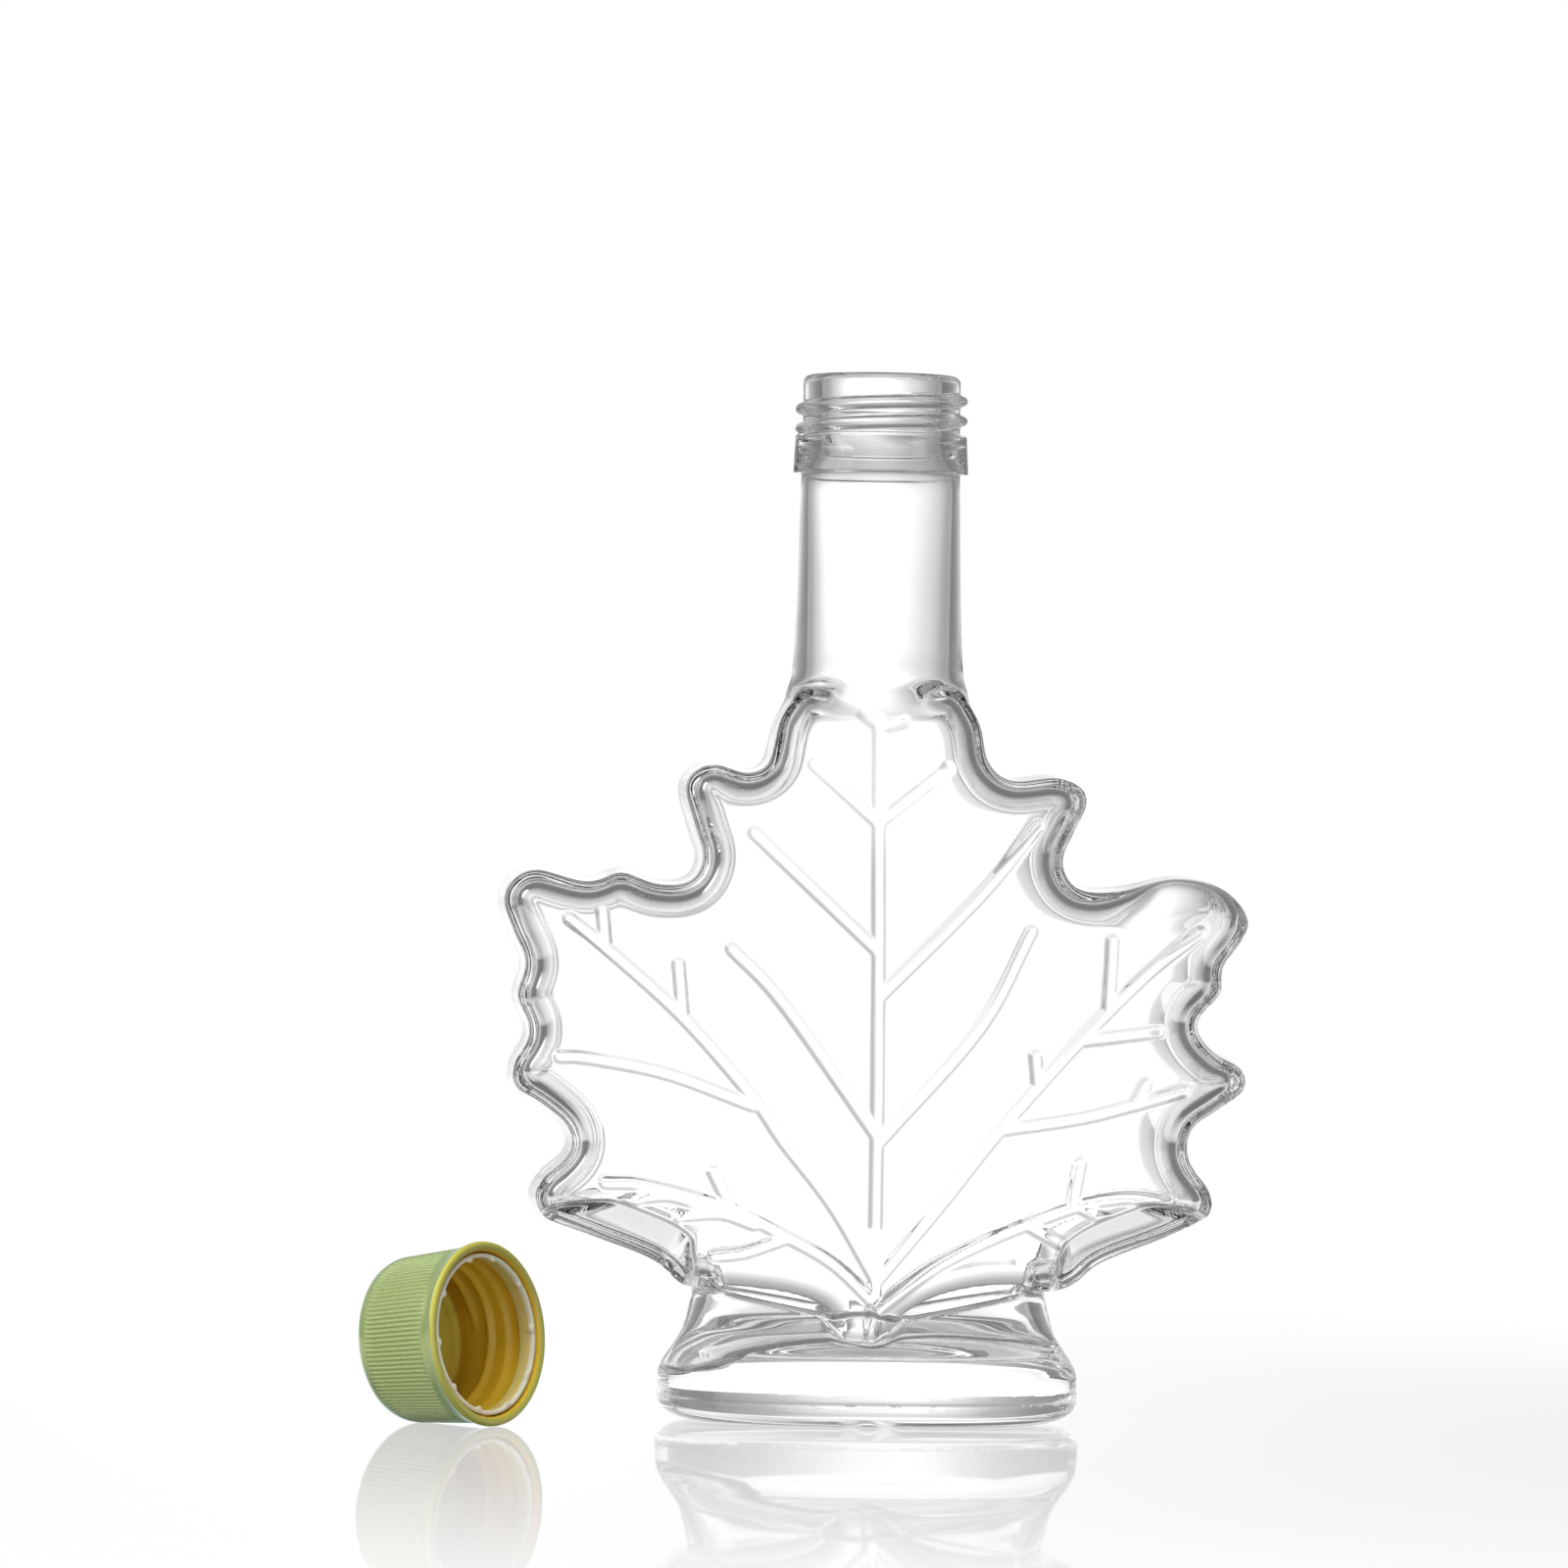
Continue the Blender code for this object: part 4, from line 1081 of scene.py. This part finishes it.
@dataclass
class ScrewCap:
    """The screw cap, turned about its own axis from the closed end at 0 to the mouth."""

    length: float = 17.6
    end_radius: float = 13.2
    body_radius: float = 13.95
    mouth_radius: float = 14.76
    ribs: int = 112
    rib_depth: float = 0.34
    rib_start: float = 2.6
    rib_stop: float = 14.3
    top_thickness: float = 1.5
    bore: float = 12.4
    mouth_bore: float = 13.2
    mouth_depth: float = 6.2
    thread_depth: float = 0.9
    thread_half_height: float = 0.8
    thread_start: float = 5.1
    thread_turns: float = 1.5
    pitch: float = 3.2
    axis_height: float = 14.78
    mouth_place: tuple[float, float] = (-61.7, -30.3)
    turn: float = 51.8
    tip: float = 6.0
    sides_per_rib: int = 6
    lip_start: float = 17.0
    liner_radius: float = 11.1
    liner_thickness: float = 1.5
    gap: float = 0.3
    band_wall: float = 0.7
    band_from_mouth: float = 3.6
    band_set_back: float = 0.7
    band_edge: float = 0.55
    nib_half_width: float = 0.75
    nib_height: float = 0.5

    def place(self) -> Matrix:
        """The cap's own axes, with the cap lying on its tapered side beside the bottle."""
        turn = math.radians(self.turn)
        tip = math.radians(self.tip)
        ahead = Vector((math.sin(turn), -math.cos(turn), 0.0))
        above = Vector((0.0, 0.0, 1.0))
        axis = ahead * math.cos(tip) + above * math.sin(tip)
        up = above * math.cos(tip) - ahead * math.sin(tip)
        mouth = Vector((*self.mouth_place, self.axis_height))
        start = (mouth - axis * self.length) * MM
        return Matrix.Translation(start) @ Matrix((up.cross(axis), up, axis)).transposed().to_4x4()

    def turned(self, name: str, rows: Pairs, sides: int,
               shaped: Callable[[Array, Array, Array], tuple[Array, Array]] | None = None
               ) -> bpy.types.Mesh:
        """A closed turned form whose first and last rows are single points on the axis.

        Args:
            name: The mesh's name.
            rows: Radius and height of each row.
            sides: Points around.
            shaped: Gives the radius and height of every point from its row, angle and plain radius.

        Returns:
            The mesh, with faces of four sides and fans at its two ends.
        """
        inner = np.array(rows[1:-1], float)
        angle = 2 * math.pi * np.arange(sides) / sides
        radius = np.repeat(inner[:, :1], sides, 1)
        height = np.repeat(inner[:, 1:], sides, 1)
        if shaped is not None:
            radius, height = shaped(radius, height, np.broadcast_to(angle, radius.shape))
        ring = np.stack([radius * np.cos(angle), radius * np.sin(angle), height], 2).reshape(-1, 3)
        points = np.vstack([ring, (0, 0, rows[0][1]), (0, 0, rows[-1][1])]) * MM
        count = len(inner)
        faces: list[tuple[int, ...]] = []
        for row in range(count - 1):
            for side in range(sides):
                a, b = row * sides + side, row * sides + (side + 1) % sides
                faces.append((a, b, b + sides, a + sides))
        first, last = count * sides, count * sides + 1
        top = (count - 1) * sides
        for side in range(sides):
            after = (side + 1) % sides
            faces.append((first, after, side))
            faces.append((last, top + side, top + after))
        mesh = bpy.data.meshes.new(name)
        mesh.from_pydata([tuple(point) for point in points], [], faces)
        mesh.update()
        mesh.shade_smooth()
        return mesh

    def shell_rows(self) -> list[tuple[float, float]]:
        """Radius and height around the shell's section, from the outside's middle to the inside's."""
        end, body, mouth = self.end_radius, self.body_radius, self.mouth_radius
        rows = [(0.0, 0.12), (4.0, 0.1), (9.0, 0.04), (11.0, 0.0), (end - 1.9, 0.1), (end - 1.1, 0.45),
                (end - 0.45, 1.05), (end - 0.1, 1.8), (end, 2.4)]
        heights = np.linspace(self.rib_start, self.rib_stop, 14)
        share = (heights - self.rib_start) / (self.rib_stop - self.rib_start)
        rows += [(end + 0.1 + (body - end) * s, h) for s, h in zip(share, heights)]
        rows += [(body + 0.1, 14.5), (body + 0.16, 14.9), (body + 0.27, 15.5), (body + 0.42, 16.1),
                 (mouth - 0.06, 16.6), (mouth, 16.95), (mouth - 0.08, 17.25), (mouth - 0.3, 17.5),
                 (mouth - 0.62, self.length), (mouth - 0.95, 17.55)]
        bore, wide = self.bore, self.mouth_bore
        step = self.length - self.mouth_depth
        rows += [(wide + 0.25, 17.3), (wide + 0.04, 16.9), (wide, 16.3), (wide, 15.0), (wide, 13.5),
                 (wide, step + 0.6), (wide - 0.15, step + 0.25), (bore + 0.2, step + 0.05),
                 (bore, step - 0.2)]
        rows += [(bore, height) for height in np.linspace(step - 0.5, self.top_thickness + 0.9, 34)]
        rows += [(bore - 0.15, self.top_thickness + 0.4), (bore - 0.7, self.top_thickness),
                 (6.0, self.top_thickness), (0.0, self.top_thickness)]
        return rows

    def shell_shape(self, radius: Array, height: Array, angle: Array) -> tuple[Array, Array]:
        """Cut the grip ribs into the outside and raise the thread inside."""
        outside = radius > self.mouth_bore + 0.05
        turn = self.ribs * angle / (2 * math.pi)
        groove = np.abs(2 * (turn - np.floor(turn)) - 1)
        reach = ramp(self.rib_start - 0.3, self.rib_start + 0.5, height)
        reach = reach * ramp(self.rib_stop + 0.2, self.rib_stop - 0.3, height)
        ribs = self.rib_depth * np.clip(1 - groove / 0.62, 0, 1) * reach
        radius = radius - np.where(outside, ribs, 0.0)
        inside = np.abs(radius - self.bore) < 0.02
        for lap in range(math.ceil(self.thread_turns)):
            place = angle / (2 * math.pi) + lap
            runs = np.clip(np.minimum(place, self.thread_turns - place) / 0.08, 0, 1)
            gap = np.abs(height - self.thread_start - self.pitch * place) / self.thread_half_height
            rise = self.thread_depth * runs * (1 - ramp(0.35, 1.0, gap))
            radius = radius - np.where(inside, rise, 0.0)
        return radius, height

    def zone(self, face: bpy.types.MeshPolygon) -> CapZone:
        """The zone of the shell that a face belongs to, from its place and the way it looks."""
        place = face.center / MM
        radius = math.hypot(place.x, place.y)
        outward = (face.normal.x * place.x + face.normal.y * place.y) / radius
        step = radius < self.mouth_bore and place.z > self.top_thickness - 0.2 and face.normal.z > 0.5
        if place.z > self.lip_start and radius > self.mouth_bore + 0.3:
            return CapZone.RIM
        return CapZone.INSIDE if outward < -0.02 or step else CapZone.OUTSIDE

    def shell(self, finishes: Sequence[bpy.types.Material]) -> bpy.types.Object:
        """The ribbed shell with its round end, its thread and its smooth lip."""
        mesh = self.turned("cap_shell_fine", self.shell_rows(), self.ribs * self.sides_per_rib,
                           self.shell_shape)
        for finish in finishes:
            mesh.materials.append(finish)
        for face in mesh.polygons:
            face.material_index = self.zone(face).value
        return add_piece("cap_shell_fine", mesh, self.place())

    def liner(self, finish: bpy.types.Material) -> bpy.types.Object:
        """The sealing liner, with the ring that the bottle's lip has pressed into it."""
        low = self.top_thickness + self.gap
        high = low + self.liner_thickness
        radius = self.liner_radius
        rows = [(0.0, low), (6.0, low), (radius - 0.2, low), (radius, low + 0.3), (radius, high - 0.35),
                (radius - 0.15, high - 0.08), (radius - 0.4, high), (radius - 0.9, high),
                (radius - 1.15, high - 0.12), (radius - 2.2, high - 0.2), (radius - 2.5, high - 0.05),
                (radius - 3.2, high - 0.05), (4.0, high - 0.05), (0.0, high - 0.05)]
        mesh = self.turned("cap_liner_fine", rows, 120)
        mesh.materials.append(finish)
        return add_piece("cap_liner_fine", mesh, self.place())

    def band(self, finishes: Sequence[bpy.types.Material]) -> bpy.types.Object:
        """The translucent ring in the mouth, with small nibs along its edge."""
        outer = self.mouth_bore - self.gap
        inner = outer - self.band_wall
        start, stop = self.length - self.band_from_mouth, self.length - self.band_set_back
        rows = np.array([(outer, start), (outer, stop - 0.3), (outer - 0.12, stop), (inner + 0.12, stop),
                         (inner, stop - 0.2), (inner, stop - 0.8), (inner, stop - 1.5), (inner, start + 0.2),
                         (inner + 0.1, start)])
        sides = 360
        angle = 2 * math.pi * np.arange(sides) / sides
        nibs = np.zeros(sides)
        for degrees in NIB_ANGLES:
            away = (angle - math.radians(degrees) + math.pi) % (2 * math.pi) - math.pi
            nibs = np.maximum(nibs, np.clip(1 - (away * inner / self.nib_half_width) ** 2, 0, 1))
        points, faces = [], []
        for radius, height in rows:
            near = max(0.0, 1 - abs(height - stop + 0.3) / 1.0) if radius < outer - 0.2 else 0.0
            reach = radius - self.nib_height * nibs * near
            points.append(np.stack([reach * np.cos(angle), reach * np.sin(angle),
                                    height + 0.5 * self.nib_height * nibs * near], 1))
        count = len(rows)
        for row in range(count):
            for side in range(sides):
                after = (side + 1) % sides
                below, above = row * sides, (row + 1) % count * sides
                faces.append((below + side, below + after, above + after, above + side))
        mesh = bpy.data.meshes.new("cap_band_fine")
        mesh.from_pydata([tuple(point * MM) for point in np.vstack(points)], [], faces)
        mesh.update()
        mesh.shade_smooth()
        for finish in finishes:
            mesh.materials.append(finish)
        for face in mesh.polygons:
            face.material_index = int(face.center.z / MM > stop - self.band_edge)
        return add_piece("cap_band_fine", mesh, self.place())

    def build(self, effects: Effects) -> None:
        """Make the cap's pieces and hand them over."""
        pearl = MouldedPlastic("pearl_green_fine", (0.33, 0.40, 0.14), (0.27, 0.34, 0.10), 240.0, 0.6,
                               0.26, metallic=0.45, coat=0.5, pearl=0.45).make(effects)
        golden = MouldedPlastic("golden_plastic", (0.74, 0.49, 0.03), (0.55, 0.34, 0.012), 150.0, 0.9,
                                0.36, subsurface=0.2).make(effects)
        rim = MouldedPlastic("olive_gold_rim", (0.47, 0.45, 0.08), (0.40, 0.37, 0.05), 130.0, 0.7,
                             0.3, coat=0.3).make(effects)
        olive = MouldedPlastic("olive_liner_fine", (0.62, 0.50, 0.07), (0.48, 0.38, 0.04), 200.0, 0.8,
                               0.45).make(effects)
        clear = MouldedPlastic("translucent_band", (0.74, 0.62, 0.24), (0.64, 0.52, 0.16), 180.0, 0.8,
                               0.35, subsurface=0.4).make(effects)
        edge = MouldedPlastic("pale_band_edge", (0.78, 0.77, 0.62), (0.68, 0.66, 0.50), 180.0, 0.8,
                              0.35, subsurface=0.4).make(effects)
        hand_over(self.shell((pearl, golden, rim)), "cap_shell")
        hand_over(self.liner(olive), "cap_liner")
        hand_over(self.band((clear, edge)), "cap_band")


@dataclass
class Studio:
    """Camera, soft light and the pale floor."""

    distance: float = 1500.0
    azimuth: float = -2.5
    camera_side: float = -13.3
    camera_height: float = 90.7
    aim_side: float = -14.95
    aim_height: float = 103.28
    roll: float = 0.9
    lens: float = 211.47
    floor_reach: float = 700.0
    floor_gloss: float = 0.36
    mirror_start: float = 90.0
    mirror_end: float = 470.0
    pool_half_width: float = 60.0
    # How far the painted shade dims the floor's glow around the object
    painted_halo_shade: float = 1.26
    glass_bounces: int = 24
    soft_box: tuple[float, float, float] = (-0.82, -0.09, 0.56)
    soft_box_light: float = 2.2
    soft_box_edge: tuple[float, float] = (0.86, 0.97)
    mirror_squeeze: float = 1.6
    mirror_roughness: float = 0.02
    glare: tuple[float, float] = (0.42, 0.95)
    glare_light: tuple[float, float] = (0.10, 1.15)
    pool_end_light: float = 0.15

    def camera(self) -> None:
        """The camera at the photograph's place, aim and lens."""
        turn = math.radians(self.azimuth)
        right = Vector((math.cos(turn), math.sin(turn), 0.0))
        back = Vector((math.sin(turn), -math.cos(turn), 0.0))
        place = (back * self.distance + right * self.camera_side + Vector((0, 0, self.camera_height))) * MM
        aim = (right * self.aim_side + Vector((0, 0, self.aim_height))) * MM
        data = bpy.data.cameras.new("camera")
        data.lens = self.lens
        data.sensor_width = 36.0
        data.clip_end = 50.0
        item = bpy.data.objects.new("camera", data)
        bpy.context.scene.collection.objects.link(item)
        look = (aim - place).to_track_quat("-Z", "Y").to_matrix().to_4x4()
        roll = Matrix.Rotation(math.radians(self.roll), 4, "Z")
        item.matrix_world = Matrix.Translation(place) @ look @ roll
        bpy.context.scene.camera = item

    def world(self) -> None:
        """White in front and behind, greyer to the sides, and one soft box above at the left."""
        world = bpy.data.worlds.new("studio")
        bpy.context.scene.world = world
        world.use_nodes = True
        world.node_tree.nodes.clear()
        graph = Graph(world.node_tree)
        where = graph.node("TexCoord").outputs["Generated"]
        split = graph.node("SeparateXYZ", {0: where}).outputs
        flat = graph.node("CombineXYZ", {"X": split["X"], "Z": split["Z"]})
        away = graph.node("VectorMath", {0: flat.outputs[0]}, operation="LENGTH")
        half = graph.node("Math", {0: away.outputs["Value"], 1: 0.5}, operation="MULTIPLY").outputs[0]
        front = graph.node("Math", {0: split["Y"], 1: 0.0}, operation="LESS_THAN")
        turned = graph.node("Math", {0: 1.0, 1: half}, operation="SUBTRACT")
        chosen = graph.node("Mix", {"Factor": front.outputs[0], "A": half, "B": turned.outputs[0]})
        tone = graph.node("ValToRGB", {"Fac": chosen.outputs["Result"]})
        ramp_points = tone.color_ramp.elements
        for index, (position, value) in enumerate(SURROUNDINGS):
            point = ramp_points[index] if index < 2 else ramp_points.new(position)
            point.position = position
            point.color = (value, value, value, 1.0)
        light = graph.node("Background", {"Color": tone.outputs["Color"]})
        box = graph.node("VectorMath", {0: where, 1: self.soft_box}, operation="DOT_PRODUCT")
        edge = graph.node("MapRange", {
            "Value": box.outputs["Value"], "From Min": self.soft_box_edge[0],
            "From Max": self.soft_box_edge[1], "To Max": self.soft_box_light,
        }, interpolation_type="SMOOTHSTEP")
        glow = graph.node("Background", {"Strength": edge.outputs["Result"]})
        both = graph.node("AddShader", {0: light.outputs[0], 1: glow.outputs[0]})
        plain = graph.node("Background", {"Color": (1.0, 1.0, 1.0, 1.0)})
        seen = graph.node("LightPath").outputs["Is Camera Ray"]
        mix = graph.node("MixShader", {"Fac": seen, 1: both.outputs[0], 2: plain.outputs[0]})
        graph.node("OutputWorld", {"Surface": mix.outputs[0]})

    def lights(self) -> None:
        """Soft boxes above and to the left."""
        for name, place, aim, size, power in (
                ("top_box", (-150.0, -250.0, 900.0), (0.0, 0.0, 60.0), 0.7, 9.0),
                ("left_box", (-900.0, -500.0, 350.0), (-40.0, 0.0, 40.0), 0.5, 5.0)):
            data = bpy.data.lights.new(name, "AREA")
            data.size = size
            data.energy = power
            item = bpy.data.objects.new(name, data)
            spot = Vector(place) * MM
            turn = (Vector(aim) * MM - spot).to_track_quat("-Z", "Y").to_matrix().to_4x4()
            item.matrix_world = Matrix.Translation(spot) @ turn
            item.visible_transmission = item.visible_glossy = False
            bpy.context.scene.collection.objects.link(item)

    def floor(self) -> None:
        """The pale glowing floor, with a faint mirror image around what stands on it. Where the camera sees
        it, its glow is dimmed there into a painted shade; to other rays it glows with a painted pool of light
        and a painted glare.
        """
        reach = self.floor_reach * MM
        mesh = bpy.data.meshes.new("floor")
        corners = [(-reach, -reach, 0), (reach, -reach, 0), (reach, reach, 0), (-reach, reach, 0)]
        mesh.from_pydata(corners, [], [(0, 1, 2, 3)])
        item = add_piece("floor", mesh)
        material = bpy.data.materials.new("floor")
        material.use_nodes = True
        material.node_tree.nodes.clear()
        graph = Graph(material.node_tree)
        where = graph.node("TexCoord").outputs["Object"]
        # Painted glare and painted pool of light: the glow that all but the camera's rays see is brighter
        # where they graze the floor and fades away from the middle
        level = graph.node("MapRange", {
            "Value": graph.node("LayerWeight").outputs["Facing"],
            "From Min": self.glare[0], "From Max": self.glare[1],
            "To Min": self.glare_light[0], "To Max": self.glare_light[1],
        })
        split = graph.node("SeparateXYZ", {0: where})
        side = graph.node("Math", {0: split.outputs["X"]}, operation="ABSOLUTE")
        pool = graph.node("MapRange", {
            "Value": side.outputs[0], "From Min": self.pool_half_width * MM, "From Max": reach,
            "To Min": 1.0, "To Max": self.pool_end_light,
        }, interpolation_type="SMOOTHSTEP")
        lit = graph.node("Math", {0: level.outputs["Result"], 1: pool.outputs["Result"]},
                         operation="MULTIPLY")
        wide = graph.node("VectorMath", {0: where, 1: (self.mirror_squeeze, 1.0, 1.0)},
                          operation="MULTIPLY")
        gap = graph.node("VectorMath", {0: wide.outputs[0]}, operation="LENGTH")
        fade = graph.node("MapRange", {
            "Value": gap.outputs["Value"], "From Min": self.mirror_end * MM,
            "From Max": self.mirror_start * MM, "To Min": 0.0, "To Max": self.floor_gloss,
        }, interpolation_type="SMOOTHSTEP").outputs["Result"]
        # Painted shade: the glow that the camera sees is dimmed around the object, by more than the faint
        # mirror image gives back
        rest = graph.node("Math", {0: fade, 1: -self.painted_halo_shade, 2: 1.0}, operation="MULTIPLY_ADD")
        seen = graph.node("LightPath").outputs["Is Camera Ray"]
        bright = graph.node("Mix", {"Factor": seen, "A": lit.outputs[0], "B": rest.outputs[0]})
        glow = graph.node("Emission", {"Strength": bright.outputs["Result"]})
        mirror = graph.node("BsdfGlossy", {"Color": fade, "Roughness": self.mirror_roughness})
        both = graph.node("AddShader", {0: glow.outputs[0], 1: mirror.outputs[0]})
        graph.node("OutputMaterial", {"Surface": both.outputs[0]})
        mesh.materials.append(material)

    def build(self) -> None:
        """Set up everything around the object."""
        self.camera()
        self.world()
        self.lights()
        self.floor()
        bpy.context.scene.view_settings.view_transform = "Standard"
        depth = bpy.context.scene.cycles
        depth.max_bounces = self.glass_bounces
        depth.glossy_bounces = self.glass_bounces
        depth.transmission_bounces = self.glass_bounces


def main() -> None:
    """Build the studio, the bottle and the cap."""
    logging.basicConfig(level=logging.INFO, format="%(message)s")
    Studio().build()
    effects = Effects()
    Bottle().build(GlassForm(), ClearGlass().make(effects))
    ScrewCap().build(effects)


if __name__ == "__main__":
    main()
